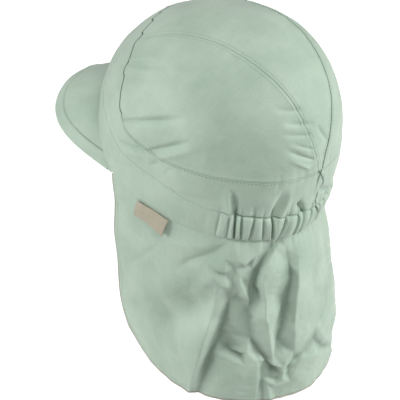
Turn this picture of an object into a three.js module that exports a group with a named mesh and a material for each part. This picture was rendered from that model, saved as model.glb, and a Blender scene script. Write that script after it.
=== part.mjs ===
// A child's sun cap with a short soft peak, a gathered nape and a long neck flap.
// Millimetres, +Z up, +X the wearer's left, -Y the brow. The origin is the centre
// of the head opening at the rim. Every cloth piece is a thin closed wall.
// Turns are degrees round the head: 0 brow, 90 left ear, 180 nape, 270 right ear.

import * as THREE from 'three';

// Head opening and crown
const rimHalfLength = 92.2;
const rimHalfWidth = 71.5;
const crownHalfLength = 88.2;
const crownHalfWidth = 71;
const springHeight = 33.9; // rim to where the dome starts
const domeHeight = 94.5;
const domeFullness = 0.08; // extra share of the radius near the top
const topSetback = 13; // crown top behind the middle of the rim
const browRise = 33; // rim at the brow above the rim at the nape, over the cloth
const earRise = 3.5; // small lift of the rim behind each ear
const napeDraw = 4.5; // how far the elastic draws the nape in
const napeDrawRight = 9; // and how much more behind the right ear
const browTilt = 10; // the cap sits tipped back by this many degrees

// Seams
const seamGap = 0.3;
const columnSpacing = 4.5; // degrees between a side panel's columns, at least
const frontSeamReach = 73; // crown top to the front panel's seam, over the dome
const bandHeightSide = 46.5;
const bandHeightNape = 51;
const seamRoundness = 6; // how squarely the front seam turns into the band's seam
const stripHalfWidth = 46; // top strip, half its width at the front seam
const stripTipHalfWidth = 1.5;
const stripTwist = 15; // the strip's tip lies this far to the left of the nape
const templeTurn = 63; // where the front seam turns into the band's seam
const cornerTrim = 2; // the side panels' two sharp corners are cut off by this much

// Casing with the elastic in it
const casingHeight = 17.5; // at the nape
const casingRiseFront = 7; // how much higher its stitch line is at the brow
const casingPuff = 1.2;
const gatherPuff = 2.6;
const gatherFade = 16; // how far the gathers reach up the band
const gatherOnset = 3; // above the stitch line, where they are tied down

// Peak
const peakLength = 43.9;
const peakEndLength = 1.2;
const peakSquareness = 4.3; // how full its corners are
const peakTurn = 64; // half of the brow that it spans
const peakSlope = 32.4; // degrees down at the middle
const peakSlopeChange = -19.7; // added at its ends
const peakBow = 2.2;
const peakWall = 1.8;

// Neck flap
const flapTurn = 65.5; // front edges at this turn each side
const flapLength = 129;
const flapCornerRun = 45;
const flapCornerRise = 33;
const flapSeamGap = 0.6;
const flapFlare = 13;
const flapEdgeDrift = 9; // the front edges hang back by this much
const flapEdgeSpread = 30; // degrees over which that drift fades
const flapBillow = 4; // how far the cloth stands off below the casing, beside the gathers
const billowTurn = 112;
const billowSpread = 26;
const billowDrop = 22; // millimetres of cloth over which it stands off
const foldDepth = 9;
const flapWall = 1.2;
const edgingWidth = 1.6;

// Label, folded into the rim's seam over the flap
const labelTurn = 91.9;
const labelWidth = 26;
const labelHeight = 12.5;
const labelSkew = 3.5; // its free edge hangs this far towards the brow
const labelWall = 1;
const labelStandOff = 0.8;
const labelLift = 1.8; // its rear end stands this far off the flap

const crownWall = 1.2;
const bandWall = 1.6;

// Half width of the top strip: along is the share of the way from the front seam
// to the strip's tip, width the share of stripHalfWidth.
const stripWidths = [
  { along: 0, width: 1 },
  { along: 0.1, width: 0.94 },
  { along: 0.28, width: 0.82 },
  { along: 0.48, width: 0.745 },
  { along: 0.64, width: 0.6 },
  { along: 0.82, width: 0.4 },
  { along: 1, width: 0 },
];

// Creases of the gathered casing: puff is the share of gatherPuff that the cloth
// swells by between this crease and the next one.
const gathers = [
  { turn: 124, puff: 0.4 },
  { turn: 129, puff: 0.7 },
  { turn: 132.5, puff: 0.8 },
  { turn: 137.5, puff: 0.8 },
  { turn: 142, puff: 0.9 },
  { turn: 147, puff: 1 },
  { turn: 154, puff: 1 },
  { turn: 162, puff: 1 },
  { turn: 169.5, puff: 0.9 },
  { turn: 176, puff: 0.9 },
  { turn: 183, puff: 0.9 },
  { turn: 190, puff: 1 },
  { turn: 197.5, puff: 1 },
  { turn: 204.5, puff: 0.9 },
  { turn: 210.5, puff: 0.9 },
  { turn: 216, puff: 0.8 },
  { turn: 221.5, puff: 0.8 },
  { turn: 227, puff: 0.6 },
  { turn: 232, puff: 0.4 },
  { turn: 236, puff: 0 },
];

// Folds of the flap: each runs from one turn and drop to another, with drop as the
// share of flapLength, depth as the share of foldDepth, and spread in degrees.
const flapFolds = [
  { turn: 130, drop: 0, toTurn: 101, toDrop: 0.36, depth: -0.3, spread: 5 },
  { turn: 132, drop: 0.06, toTurn: 113, toDrop: 0.3, depth: 0.3, spread: 5 },
  { turn: 127, drop: 0.16, toTurn: 93, toDrop: 0.8, depth: -0.5, spread: 11 },
  { turn: 130, drop: 0.22, toTurn: 110, toDrop: 1.1, depth: 0.75, spread: 4.5 },
  { turn: 133, drop: 0.3, toTurn: 121, toDrop: 1.1, depth: -0.6, spread: 6 },
  { turn: 146, drop: -0.1, toTurn: 134, toDrop: 0.6, depth: -0.85, spread: 4.5 },
  { turn: 150, drop: 0.02, toTurn: 147, toDrop: 0.85, depth: 0.6, spread: 5 },
  { turn: 165, drop: 0.02, toTurn: 150, toDrop: 0.9, depth: -0.6, spread: 4.5 },
  { turn: 171, drop: 0.02, toTurn: 163, toDrop: 1.1, depth: 0.45, spread: 7 },
  { turn: 186, drop: 0.1, toTurn: 190, toDrop: 0.9, depth: -0.4, spread: 6 },
  { turn: 198, drop: 0.02, toTurn: 204, toDrop: 1.1, depth: 0.5, spread: 7 },
  { turn: 209, drop: 0, toTurn: 216, toDrop: 0.9, depth: -0.6, spread: 5 },
  { turn: 219, drop: 0.05, toTurn: 233, toDrop: 1.1, depth: 0.6, spread: 6 },
  { turn: 231, drop: 0.1, toTurn: 256, toDrop: 0.9, depth: -0.45, spread: 9 },
];

const turnNape = 180;
const turnFull = 360;
const crownArc = springHeight + domeHeight * Math.PI / 2; // rim to top over the dome
const springShare = 1 - springHeight / crownArc;
const earTurn = 88;
const earSpread = 14;
const drawTurn = 214; // middle of the extra draw, and how far it spreads
const drawSpread = 32;

const toRadians = THREE.MathUtils.degToRad;
const clamp = THREE.MathUtils.clamp;
const mix = THREE.MathUtils.lerp;

function ease(share) {
  const part = clamp(share, 0, 1);
  return part * part * (3 - 2 * part);
}

function hump(distance, spread) {
  return Math.exp(-((distance / spread) ** 2));
}

// Turn as an angle from the brow, 0 to 180 on either side.
function fromBrow(turn) {
  const wrapped = ((turn % turnFull) + turnFull) % turnFull;
  return wrapped > turnNape ? turnFull - wrapped : wrapped;
}

// The crown is laid out on a disc: a place is shares of crownArc from the top,
// x to the wearer's left and y to the nape, so 1 is the rim at the nape.
function discPlace(turn, share) {
  const angle = toRadians(turn);
  return { x: share * Math.sin(angle), y: -share * Math.cos(angle) };
}

// The rim rises over the brow, and a little at the ears.
function rimShare(turn) {
  const front = Math.max(Math.cos(toRadians(turn)), 0);
  const rise = browRise * front ** 2 + earRise * hump(fromBrow(turn) - earTurn, earSpread);
  return 1 - rise / crownArc;
}

function rimPlace(turn) {
  return discPlace(turn, rimShare(turn));
}

function tipBack(point) {
  const tilt = toRadians(browTilt);
  const { x, y, z } = point;
  const back = y * Math.cos(tilt) + z * Math.sin(tilt);
  const up = z * Math.cos(tilt) - y * Math.sin(tilt);
  return new THREE.Vector3(x, back, up);
}

function capSkin(place) {
  const share = Math.hypot(place.x, place.y);
  const angle = Math.atan2(place.x, -place.y);
  const turn = (THREE.MathUtils.radToDeg(angle) + turnFull) % turnFull;
  const side = Math.sin(angle);
  const front = Math.cos(angle);
  const bend = Math.min(share / springShare, 1) * Math.PI / 2;
  const reach = Math.sin(bend) * (1 + domeFullness * Math.cos(bend) ** 2);
  const down = clamp((share - springShare) / (1 - springShare), 0, 1.2);
  const toRim = down * down;
  const nape = clamp((0.3 - front) / 1.3, 0, 1) ** 1.5;
  const pull = napeDraw * nape + napeDrawRight * hump(turn - drawTurn, drawSpread);
  const drawIn = 1 - pull / rimHalfLength * down ** 2;
  const x = mix(crownHalfWidth, rimHalfWidth, toRim) * side * reach * drawIn;
  const y = -mix(crownHalfLength, rimHalfLength, toRim) * front * reach * drawIn;
  const z = share < springShare
    ? springHeight + domeHeight * Math.cos(bend)
    : mix(springHeight, 0, down);
  return tipBack(new THREE.Vector3(x, y + topSetback * Math.cos(bend) ** 2, z));
}

// Outward direction of the cap's skin at a place on the disc.
function capNormal(place) {
  const step = 0.002;
  const along = capSkin({ x: place.x + step, y: place.y });
  along.sub(capSkin({ x: place.x - step, y: place.y }));
  const across = capSkin({ x: place.x, y: place.y + step });
  across.sub(capSkin({ x: place.x, y: place.y - step }));
  return along.cross(across).normalize();
}

function capPoint(place, proud) {
  return capSkin(place).addScaledVector(capNormal(place), proud);
}

// A place moved over the skin by a distance in millimetres.
function slide(place, x, y, distance) {
  const step = 0.001;
  const size = Math.hypot(x, y);
  const next = { x: place.x + x / size * step, y: place.y + y / size * step };
  const share = distance * step / capSkin(place).distanceTo(capSkin(next));
  return { x: place.x + x / size * share, y: place.y + y / size * share };
}

// Closed wall between two grids: place(u, v, proud) gives the outer face at
// proud 0 and the inner face at proud -wall. Round walls close on themselves in u.
function clothWall(columns, rows, wall, place, round = false) {
  const points = [];
  const faces = [];
  const width = columns.length;
  const height = rows.length;
  for (const proud of [0, -wall]) {
    for (const v of rows) {
      for (const u of columns) {
        points.push(place(u, v, proud));
      }
    }
  }
  const at = (layer, row, column) => (layer * height + row) * width + column % width;
  const quad = (a, b, c, d) => faces.push(a, b, c, a, c, d);
  const spans = round ? width : width - 1;
  for (let row = 0; row < height - 1; row += 1) {
    for (let column = 0; column < spans; column += 1) {
      const next = column + 1;
      quad(at(0, row, column), at(0, row, next), at(0, row + 1, next), at(0, row + 1, column));
      quad(at(1, row, column), at(1, row + 1, column), at(1, row + 1, next), at(1, row, next));
    }
  }
  for (let column = 0; column < spans; column += 1) {
    const next = column + 1;
    const last = height - 1;
    quad(at(0, 0, next), at(0, 0, column), at(1, 0, column), at(1, 0, next));
    quad(at(0, last, column), at(0, last, next), at(1, last, next), at(1, last, column));
  }
  if (!round) {
    for (let row = 0; row < height - 1; row += 1) {
      const last = width - 1;
      quad(at(0, row, 0), at(0, row + 1, 0), at(1, row + 1, 0), at(1, row, 0));
      quad(at(0, row + 1, last), at(0, row, last), at(1, row, last), at(1, row + 1, last));
    }
  }
  return closedGeometry(points, faces);
}

// Geometry whose faces point out, whichever way its grid ran.
function closedGeometry(points, faces) {
  let volume = 0;
  const normal = new THREE.Vector3();
  for (let i = 0; i < faces.length; i += 3) {
    const [a, b, c] = [points[faces[i]], points[faces[i + 1]], points[faces[i + 2]]];
    volume += normal.crossVectors(b, c).dot(a);
  }
  const order = volume < 0 ? faces.slice().reverse() : faces;
  const geometry = new THREE.BufferGeometry();
  geometry.setFromPoints(points);
  geometry.setIndex(order);
  geometry.computeVertexNormals();
  return geometry;
}

function evenSteps(from, to, count) {
  return Array.from({ length: count + 1 }, (_, i) => mix(from, to, i / count));
}

// Seam over the top of the band: the front seam runs straight across the crown,
// then rounds into the seam along the sides and the nape.
function bandSeam(turn) {
  const front = Math.cos(toRadians(turn));
  const bandHeight = mix(bandHeightSide, bandHeightNape, Math.max(-front, 0));
  const back = 1 - bandHeight / crownArc;
  if (front < 0.01) {
    return discPlace(turn, back);
  }
  const across = frontSeamReach / crownArc / front;
  const power = seamRoundness;
  return discPlace(turn, (across ** -power + back ** -power) ** (-1 / power));
}

// Straight steps between the rows of a table with an along column.
function tableWidth(rows, along) {
  const last = rows.length - 1;
  const next = clamp(rows.findIndex((row) => row.along >= along), 1, last);
  const [low, high] = [rows[next - 1], rows[next]];
  const part = clamp((along - low.along) / (high.along - low.along), 0, 1);
  return mix(low.width, high.width, part);
}

// Smoothed table, so that the strip's edges are fair curves.
function stripWidth(along) {
  const reach = 0.06;
  const sum = tableWidth(stripWidths, Math.max(along - reach, 0))
    + 2 * tableWidth(stripWidths, clamp(along, 0, 1))
    + tableWidth(stripWidths, Math.min(along + reach, 1));
  return sum / 4;
}

const stripStart = -frontSeamReach / crownArc;
const stripEnd = bandSeam(turnNape).y;

// Edge of the top strip on the disc; side is 1 for the left edge, -1 for the right.
function stripEdge(along, side) {
  const y = mix(stripStart, stripEnd, along);
  const centre = stripTwist / crownArc * Math.max(along - 0.35, 0) ** 1.5 / 0.65 ** 1.5;
  const half = (stripTipHalfWidth + (stripHalfWidth - stripTipHalfWidth) * stripWidth(along));
  return { x: centre + side * half / crownArc, y };
}

function alongStrip(place) {
  return (place.y - stripStart) / (stripEnd - stripStart);
}

// Turn at which the band's seam meets an edge of the strip, found by halving:
// once near the brow and once at the strip's tip.
function seamMeeting(side, atTip) {
  let [low, high] = atTip ? [turnNape - 60, turnNape] : [0, templeTurn];
  for (let i = 0; i < 40; i += 1) {
    const middle = (low + high) / 2;
    const place = bandSeam(side * middle);
    const outside = side * (place.x - stripEdge(alongStrip(place), side).x) > 0;
    if (outside === atTip) {
      low = middle;
    } else {
      high = middle;
    }
  }
  return side * (low + high) / 2;
}

// Patch on the disc between four edge curves, each a function of a share.
function patchPlace(edges, u, v) {
  const { near, far, start, end } = edges;
  const at = (key) => {
    const ruled = mix(near(u)[key], far(u)[key], v) + mix(start(v)[key], end(v)[key], u);
    const corners = mix(mix(near(0)[key], near(1)[key], u), mix(far(0)[key], far(1)[key], u), v);
    return ruled - corners;
  };
  return { x: at('x'), y: at('y') };
}

// Crown panel between the top strip and the band; side is 1 left, -1 right.
function sidePanel(side) {
  const inset = seamGap / 2;
  const frontTurn = seamMeeting(side, false);
  const napeTurn = seamMeeting(side, true);
  const tipTurn = napeTurn - side * cornerTrim / rimMetric(napeTurn);
  const frontAlong = alongStrip(bandSeam(frontTurn)) + cornerTrim / crownArc;
  const tipAlong = alongStrip(bandSeam(napeTurn)) - cornerTrim / crownArc;
  const place = (u, v, proud) => {
    const strip = stripEdge(mix(frontAlong, tipAlong, u), side);
    const seam = bandSeam(mix(frontTurn, tipTurn, u));
    const onStrip = slide(strip, side, 0, inset);
    const onSeam = slide(seam, -seam.x, -seam.y, inset);
    return capPoint(mixPlace(onStrip, onSeam, v), proud);
  };
  const columns = sharedSteps(frontTurn, tipTurn, columnSpacing);
  return clothWall(columns, evenSteps(0, 1, 7), crownWall, place);
}

function mixPlace(a, b, share) {
  return { x: mix(a.x, b.x, share), y: mix(a.y, b.y, share) };
}

// Shares of the way between two turns at which the band has its own columns, so
// that both sides of a seam follow the same straight steps.
function sharedSteps(from, to, spacing) {
  const shares = bandTurns().flatMap((turn) => {
    return [turn, turn - turnFull].map((value) => (value - from) / (to - from));
  });
  const inside = shares.filter((share) => share > 0.02 && share < 0.98).sort((a, b) => a - b);
  const kept = [0];
  for (const share of inside) {
    if ((share - kept[kept.length - 1]) * Math.abs(to - from) > spacing) {
      kept.push(share);
    }
  }
  return [...kept, 1];
}

function topPanel() {
  const inset = seamGap / 2;
  const [left, right] = [seamMeeting(1, false), seamMeeting(-1, false)];
  const tip = [1, -1].map((side) => alongStrip(bandSeam(seamMeeting(side, true))));
  const tipAlong = Math.min(...tip) - seamGap / crownArc;
  const edge = (side, v) => {
    const frontAlong = alongStrip(bandSeam(side > 0 ? left : right));
    return slide(stripEdge(mix(frontAlong, tipAlong, v), side), -side, 0, inset);
  };
  const frontEdge = (u) => {
    const seam = bandSeam(mix(right, left, u));
    const x = mix(edge(-1, 0).x, edge(1, 0).x, u);
    return { x, y: slide(seam, -seam.x, -seam.y, inset).y };
  };
  const edges = {
    near: (v) => edge(-1, v),
    far: (v) => edge(1, v),
    start: frontEdge,
    end: (u) => mixPlace(edge(-1, 1), edge(1, 1), u),
  };
  const place = (v, u, proud) => capPoint(patchPlace(edges, v, u), proud);
  return clothWall(evenSteps(0, 1, 18), evenSteps(0, 1, 8), crownWall, place);
}

// Swelling of the cloth between two creases of the casing, as a share.
function gatherWave(turn) {
  const next = gathers.findIndex((row) => row.turn > turn);
  if (next < 1) {
    return 0;
  }
  const [low, high] = [gathers[next - 1], gathers[next]];
  const part = (turn - low.turn) / (high.turn - low.turn);
  return low.puff * Math.sin(Math.PI * part) ** 0.7;
}

// Columns of a rounded front corner of the flap, closer together at its front edge.
function cornerTurns(from, towards) {
  const steps = 6;
  const degrees = flapCornerRun / rimMetric(from);
  return Array.from({ length: steps }, (_, i) => {
    return from + towards * degrees * (1 - Math.cos(i / steps * Math.PI / 2));
  });
}

// Millimetres of rim per degree of turn.
function rimMetric(turn) {
  return capSkin(rimPlace(turn)).distanceTo(capSkin(rimPlace(turn + 1)));
}

function gatherTurns() {
  const perGather = 3;
  const turns = [];
  for (let i = 0; i < gathers.length - 1; i += 1) {
    const steps = evenSteps(gathers[i].turn, gathers[i + 1].turn, perGather);
    turns.push(...steps.slice(0, perGather));
  }
  turns.push(gathers[gathers.length - 1].turn);
  return turns;
}

// Columns round the flap, closer where the casing is gathered and at its corners.
function flapTurns() {
  const plainSteps = 5;
  const corner = cornerTurns(flapTurn, 1);
  const cornerEnd = flapTurn + flapCornerRun / rimMetric(flapTurn);
  const firstGather = gathers[0].turn;
  const lastGather = gathers[gathers.length - 1].turn;
  const rightEdge = turnFull - flapTurn;
  const rightCorner = cornerTurns(rightEdge, -1).reverse();
  const rightEnd = rightEdge - flapCornerRun / rimMetric(rightEdge);
  return [
    ...corner,
    ...evenSteps(cornerEnd, firstGather, plainSteps).slice(0, plainSteps),
    ...gatherTurns(),
    ...evenSteps(lastGather, rightEnd, plainSteps).slice(1),
    ...rightCorner,
  ];
}

function casingShare(turn) {
  const nape = Math.max(-Math.cos(toRadians(turn)), 0);
  return rimShare(turn) - (casingHeight + casingRiseFront * (1 - nape)) / crownArc;
}

// How far the band stands proud of the smooth skin.
function bandProud(turn, share) {
  const casing = casingShare(turn);
  const height = (casing - share) * crownArc;
  const wave = gatherWave(((turn % turnFull) + turnFull) % turnFull);
  if (height < 0) {
    const down = (share - casing) / (rimShare(turn) - casing);
    return (casingPuff + gatherPuff * wave) * Math.sin(Math.PI * clamp(down, 0, 1)) ** 0.6;
  }
  return gatherPuff * 0.3 * wave * ease(height / gatherOnset) * (1 - ease(height / gatherFade));
}

function bandTurns() {
  const browSteps = 24;
  return [
    ...flapTurns(),
    ...evenSteps(-flapTurn, flapTurn, browSteps).slice(1, browSteps),
  ];
}

function band() {
  const upperRows = 5;
  const rows = [...evenSteps(0, 1, upperRows), 1.35, 1.65, 2];
  const place = (turn, row, proud) => {
    const seam = bandSeam(turn);
    const start = Math.hypot(seam.x, seam.y) + seamGap / 2 / crownArc;
    const casing = casingShare(turn);
    const share = row < 1 ? mix(start, casing, row) : mix(casing, rimShare(turn), row - 1);
    return capPoint(discPlace(turn, share), bandProud(turn, share) + proud);
  };
  return clothWall(bandTurns(), rows, bandWall, place, true);
}

// Peak: straight lines from the brow's rim, bowed a little, sloping down.
function peak() {
  const place = (part, out, proud) => {
    const turn = part * peakTurn;
    const rim = capPoint(rimPlace(turn), seamGap);
    const length = peakEndLength + peakLength * (1 - Math.abs(part) ** peakSquareness);
    const slope = toRadians(peakSlope + peakSlopeChange * part * part) - toRadians(browTilt);
    const bow = peakBow * Math.sin(Math.PI * out) * length / peakLength;
    const forward = length * out * Math.cos(slope) + (bow + proud) * Math.sin(slope);
    const drop = length * out * Math.sin(slope) - (bow + proud) * Math.cos(slope);
    return new THREE.Vector3(rim.x, rim.y - forward, rim.z - drop);
  };
  const parts = evenSteps(-1, 1, 26);
  return clothWall(parts, evenSteps(0, 1, 5), peakWall, place);
}

// Length of the flap below the rim, shorter where its front corners are rounded.
function flapDrop(turn) {
  const arc = (fromBrow(turn) - flapTurn) * rimMetric(flapTurn);
  const part = clamp(arc / flapCornerRun, 0, 1);
  return flapLength - flapCornerRise * (1 - Math.sqrt(1 - (1 - part) ** 2));
}

function foldProud(turn, down) {
  let proud = 0;
  for (const fold of flapFolds) {
    const part = (down - fold.drop) / (fold.toDrop - fold.drop);
    const centre = mix(fold.turn, fold.toTurn, clamp(part, 0, 1));
    const ends = ease(part / 0.25) * ease((1 - part) / 0.25);
    proud += foldDepth * fold.depth * ends * hump(turn - centre, fold.spread);
  }
  return proud;
}

// A point of the flap: drop is millimetres of cloth below the rim's seam.
function flapPoint(turn, drop, proud) {
  const rim = capPoint(rimPlace(turn), 0);
  const ahead = capSkin(rimPlace(turn + 1)).sub(capSkin(rimPlace(turn - 1)));
  const along = ahead.setZ(0).normalize();
  const outward = new THREE.Vector3(along.y, -along.x, 0);
  if (outward.dot(rim) < 0) {
    outward.negate();
  }
  const down = drop / flapLength;
  const behind = (1 - Math.cos(toRadians(turn))) / 2;
  const flare = flapFlare * behind ** 2 * Math.sin(Math.min(down, 1.1) * Math.PI * 0.6);
  const side = turn < turnNape ? 1 : -1;
  const edge = hump(fromBrow(turn) - flapTurn, flapEdgeSpread);
  const beside = hump(fromBrow(turn) - billowTurn, billowSpread);
  const billow = flapBillow * beside * (1 - Math.exp(-drop / billowDrop));
  const tuck = gatherPuff * 0.5 * gatherWave(turn) * (1 - ease(down / 0.12));
  const offset = flare + billow + foldProud(turn, down) + tuck + proud;
  rim.z -= flapSeamGap + drop;
  rim.addScaledVector(along, side * flapEdgeDrift * edge * down);
  return rim.addScaledVector(outward, offset);
}

function neckFlap() {
  const place = (turn, row, proud) => flapPoint(turn, flapDrop(turn) * row, proud);
  return clothWall(flapTurns(), evenSteps(0, 1, 12), flapWall, place);
}

// Narrow edging along the flap's front edges and hem, just outside the cloth.
function flapEdging() {
  const turns = flapTurns();
  const frontSteps = 7;
  const rightEdge = turnFull - flapTurn;
  const rise = (turn) => evenSteps(0.02, 1, frontSteps).map((row) => {
    return { turn, drop: flapDrop(turn) * row };
  });
  const hem = turns.slice(1, -1).map((turn) => ({ turn, drop: flapDrop(turn) }));
  const path = [...rise(flapTurn), ...hem, ...rise(rightEdge).reverse()];
  const place = (index, row, proud) => {
    const here = path[index];
    const before = path[Math.max(index - 1, 0)];
    const after = path[Math.min(index + 1, path.length - 1)];
    const metric = rimMetric(here.turn);
    const run = (after.turn - before.turn) * metric;
    const fall = after.drop - before.drop;
    const size = Math.hypot(run, fall);
    const out = seamGap + row * edgingWidth;
    return flapPoint(here.turn - fall / size * out / metric, here.drop + run / size * out, proud);
  };
  const indices = path.map((_, index) => index);
  return clothWall(indices, [0, 1], flapWall, place);
}

// Blank folded tag that hangs from the rim's seam, over the flap.
function label() {
  const place = (across, down, proud) => {
    const aside = (across - 0.5) * labelWidth - labelSkew * down;
    const turn = labelTurn + aside / rimMetric(labelTurn);
    const standOff = labelStandOff + labelWall + labelLift * down * ease((across - 0.4) / 0.6);
    return flapPoint(turn, labelHeight * down, standOff + proud);
  };
  return clothWall(evenSteps(0, 1, 8), evenSteps(0, 1, 3), labelWall, place);
}

const clothColour = 0xb0c4b2;
const edgingColour = 0xa9a898;
const labelColour = 0xc4b4a0;

function piece(name, geometry, color) {
  const material = new THREE.MeshStandardMaterial({ color, roughness: 0.85, metalness: 0 });
  const mesh = new THREE.Mesh(geometry, material);
  mesh.name = name;
  return mesh;
}

const cap = new THREE.Group();
cap.add(
  piece('band', band(), clothColour),
  piece('top_panel', topPanel(), clothColour),
  piece('side_panel_left', sidePanel(1), clothColour),
  piece('side_panel_right', sidePanel(-1), clothColour),
  piece('peak', peak(), clothColour),
  piece('neck_flap', neckFlap(), clothColour),
  piece('flap_edging', flapEdging(), edgingColour),
  piece('label', label(), labelColour),
);

export default cap;
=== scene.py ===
# Looks of a child's sun cap with a short peak, a gathered nape and a long neck flap.
# Shapes are worked out in millimetres and turned into metres when a mesh is made.
# Turns are degrees round the head: 0 brow, 90 left ear, 180 nape, 270 right ear.
import math

import bpy
import numpy as np
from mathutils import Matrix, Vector
from mathutils.geometry import delaunay_2d_cdt


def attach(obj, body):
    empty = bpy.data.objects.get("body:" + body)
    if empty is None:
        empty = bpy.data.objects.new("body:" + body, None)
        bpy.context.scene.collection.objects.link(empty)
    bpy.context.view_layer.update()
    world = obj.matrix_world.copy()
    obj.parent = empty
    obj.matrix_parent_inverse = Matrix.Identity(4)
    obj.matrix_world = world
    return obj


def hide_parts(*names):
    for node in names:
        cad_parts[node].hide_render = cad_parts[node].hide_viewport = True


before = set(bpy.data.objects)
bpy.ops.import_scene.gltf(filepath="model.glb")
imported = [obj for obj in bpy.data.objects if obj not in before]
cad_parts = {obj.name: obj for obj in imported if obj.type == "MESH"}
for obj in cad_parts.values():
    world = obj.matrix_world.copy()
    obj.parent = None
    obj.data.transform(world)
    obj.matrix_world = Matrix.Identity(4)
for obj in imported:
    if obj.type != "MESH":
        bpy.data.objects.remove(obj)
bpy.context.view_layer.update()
print("cap: frame loaded")

mm = 0.001

# Camera, floor and light

view = {
    "turn": 53.81,  # degrees from +Y towards +X
    "elevation": 33.55,
    "distance": 1.2,
    "near": 0.01,
    "sensor": 36,
    "lens": 154.3,
    "shiftX": -0.0297,
    "shiftY": -0.0924,
    "pixels": 400,  # the photo's width and height
}

studio = {
    "floorHeight": -0.55,
    "floorSize": 7,
    "floorColour": (0.92, 0.92, 0.91, 1),
    "floorRoughness": 0.9,
    "floorGlow": 0.06,
    "worldColour": (1.0, 1.0, 1.0, 1),
    "worldStrength": 0.22,
    "lamps": {
        "topLamp": {"place": (0.36, 0.88, 1.6), "size": 0.9, "watts": 16},
        "leftLamp": {"place": (1.04, -0.89, 0.36), "size": 0.5, "watts": 12},
        "rightLamp": {"place": (-0.66, 1.24, 0.5), "size": 0.5, "watts": 13},
    },
    # a spot lights only the floor behind the cap
    "floorSpot": {"place": (-1.1, -0.8, 1), "aim": (-0.67, -0.49, -0.55), "watts": 80,
                  "cone": 52, "blend": 0.6, "size": 0.1},
}


def towardCamera():
    turn, rise = math.radians(view["turn"]), math.radians(view["elevation"])
    return math.sin(turn) * math.cos(rise), math.cos(turn) * math.cos(rise), math.sin(rise)


def addCamera():
    away = Vector(towardCamera())
    data = bpy.data.cameras.new("photoCamera")
    data.sensor_width = view["sensor"]
    data.lens = view["lens"]
    data.shift_x = view["shiftX"]
    data.shift_y = view["shiftY"]
    data.clip_start = view["near"]
    camera = bpy.data.objects.new("photoCamera", data)
    camera.location = away * view["distance"]
    camera.rotation_euler = (-away).to_track_quat("-Z", "Y").to_euler()
    bpy.context.scene.collection.objects.link(camera)
    bpy.context.scene.camera = camera


def addLamp(name, kind, watts, place, aim=(0, 0, 0)):
    lamp = bpy.data.lights.new(name, kind)
    lamp.energy = watts
    holder = bpy.data.objects.new(name, lamp)
    holder.location = place
    along = Vector(aim) - Vector(place)
    holder.rotation_euler = along.to_track_quat("-Z", "Y").to_euler()
    bpy.context.scene.collection.objects.link(holder)
    return lamp


def addStudio():
    scene = bpy.context.scene
    scene.view_settings.view_transform = "Standard"
    world = bpy.data.worlds.new("softWorld")
    world.use_nodes = True
    background = world.node_tree.nodes["Background"]
    background.inputs["Color"].default_value = studio["worldColour"]
    background.inputs["Strength"].default_value = studio["worldStrength"]
    scene.world = world

    half = studio["floorSize"] / 2
    mesh = bpy.data.meshes.new("floor")
    corners = [(-half, -half, 0), (half, -half, 0), (half, half, 0), (-half, half, 0)]
    mesh.from_pydata(corners, [], [(0, 1, 2, 3)])
    floor = bpy.data.objects.new("floor", mesh)
    floor.location.z = studio["floorHeight"]
    scene.collection.objects.link(floor)
    paint = bpy.data.materials.new("floorPaint")
    paint.use_nodes = True
    shader = paint.node_tree.nodes["Principled BSDF"]
    shader.inputs["Base Color"].default_value = studio["floorColour"]
    shader.inputs["Roughness"].default_value = studio["floorRoughness"]
    shader.inputs["Emission Color"].default_value = studio["floorColour"]
    shader.inputs["Emission Strength"].default_value = studio["floorGlow"]
    mesh.materials.append(paint)

    for name, row in studio["lamps"].items():
        addLamp(name, "AREA", row["watts"], row["place"]).size = row["size"]
    spot = studio["floorSpot"]
    lamp = addLamp("floorSpot", "SPOT", spot["watts"], spot["place"], spot["aim"])
    lamp.spot_size = math.radians(spot["cone"])
    lamp.spot_blend = spot["blend"]
    lamp.shadow_soft_size = spot["size"]


addCamera()
addStudio()
print("cap: camera, floor and light ready")

# Small sums used by every piece


def mix(a, b, share):
    return a + (b - a) * share


def ease(share):
    part = np.clip(share, 0, 1)
    return part * part * (3 - 2 * part)


def hump(distance, spread):
    return np.exp(-(distance / spread) ** 2)


def unit(vectors):
    return vectors / np.linalg.norm(vectors, axis=-1, keepdims=True)


def fromBrow(turn):
    wrapped = np.mod(turn, 360)
    return np.where(wrapped > 180, 360 - wrapped, wrapped)


def edgeSteps(count, crowding):
    # 0 to 1, with the steps closer together at both ends
    even = np.linspace(0, 1, count + 1)
    return even - crowding * np.sin(2 * math.pi * even) / (2 * math.pi)


def waves(places, lengths, seed, count=5):
    # Irregular swell of height about 1: places are (..., 2 or 3) in millimetres
    dice = np.random.default_rng(seed)
    total = np.zeros(places.shape[:-1])
    for _ in range(count):
        direction = unit(dice.normal(size=places.shape[-1]))
        length = dice.uniform(*lengths)
        total += np.sin(places @ direction * (2 * math.pi / length) + dice.uniform(0, 2 * math.pi))
    return total / math.sqrt(count)


def nearestOf(points, places, batch=20000):
    # Which of a line's points lies nearest to each place
    square = (points ** 2).sum(1)
    nearest = np.empty(len(places), int)
    for start in range(0, len(places), batch):
        part = places[start:start + batch]
        nearest[start:start + batch] = (square - 2 * part @ points.T).argmin(1)
    return nearest


def runAlong(line):
    # How far along a line each of its points lies
    return np.concatenate([[0], np.cumsum(np.linalg.norm(np.diff(line, axis=0), axis=1))])


def table(columns, rows):
    # Each row as a dictionary, by the names of the columns
    return [dict(zip(columns.split(), row)) for row in rows]


# The cap's skin. A place on the crown is x and y on a disc, in shares of crownArc
# from the top: x to the wearer's left, y to the nape, and 1 is the rim at the nape.

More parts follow.
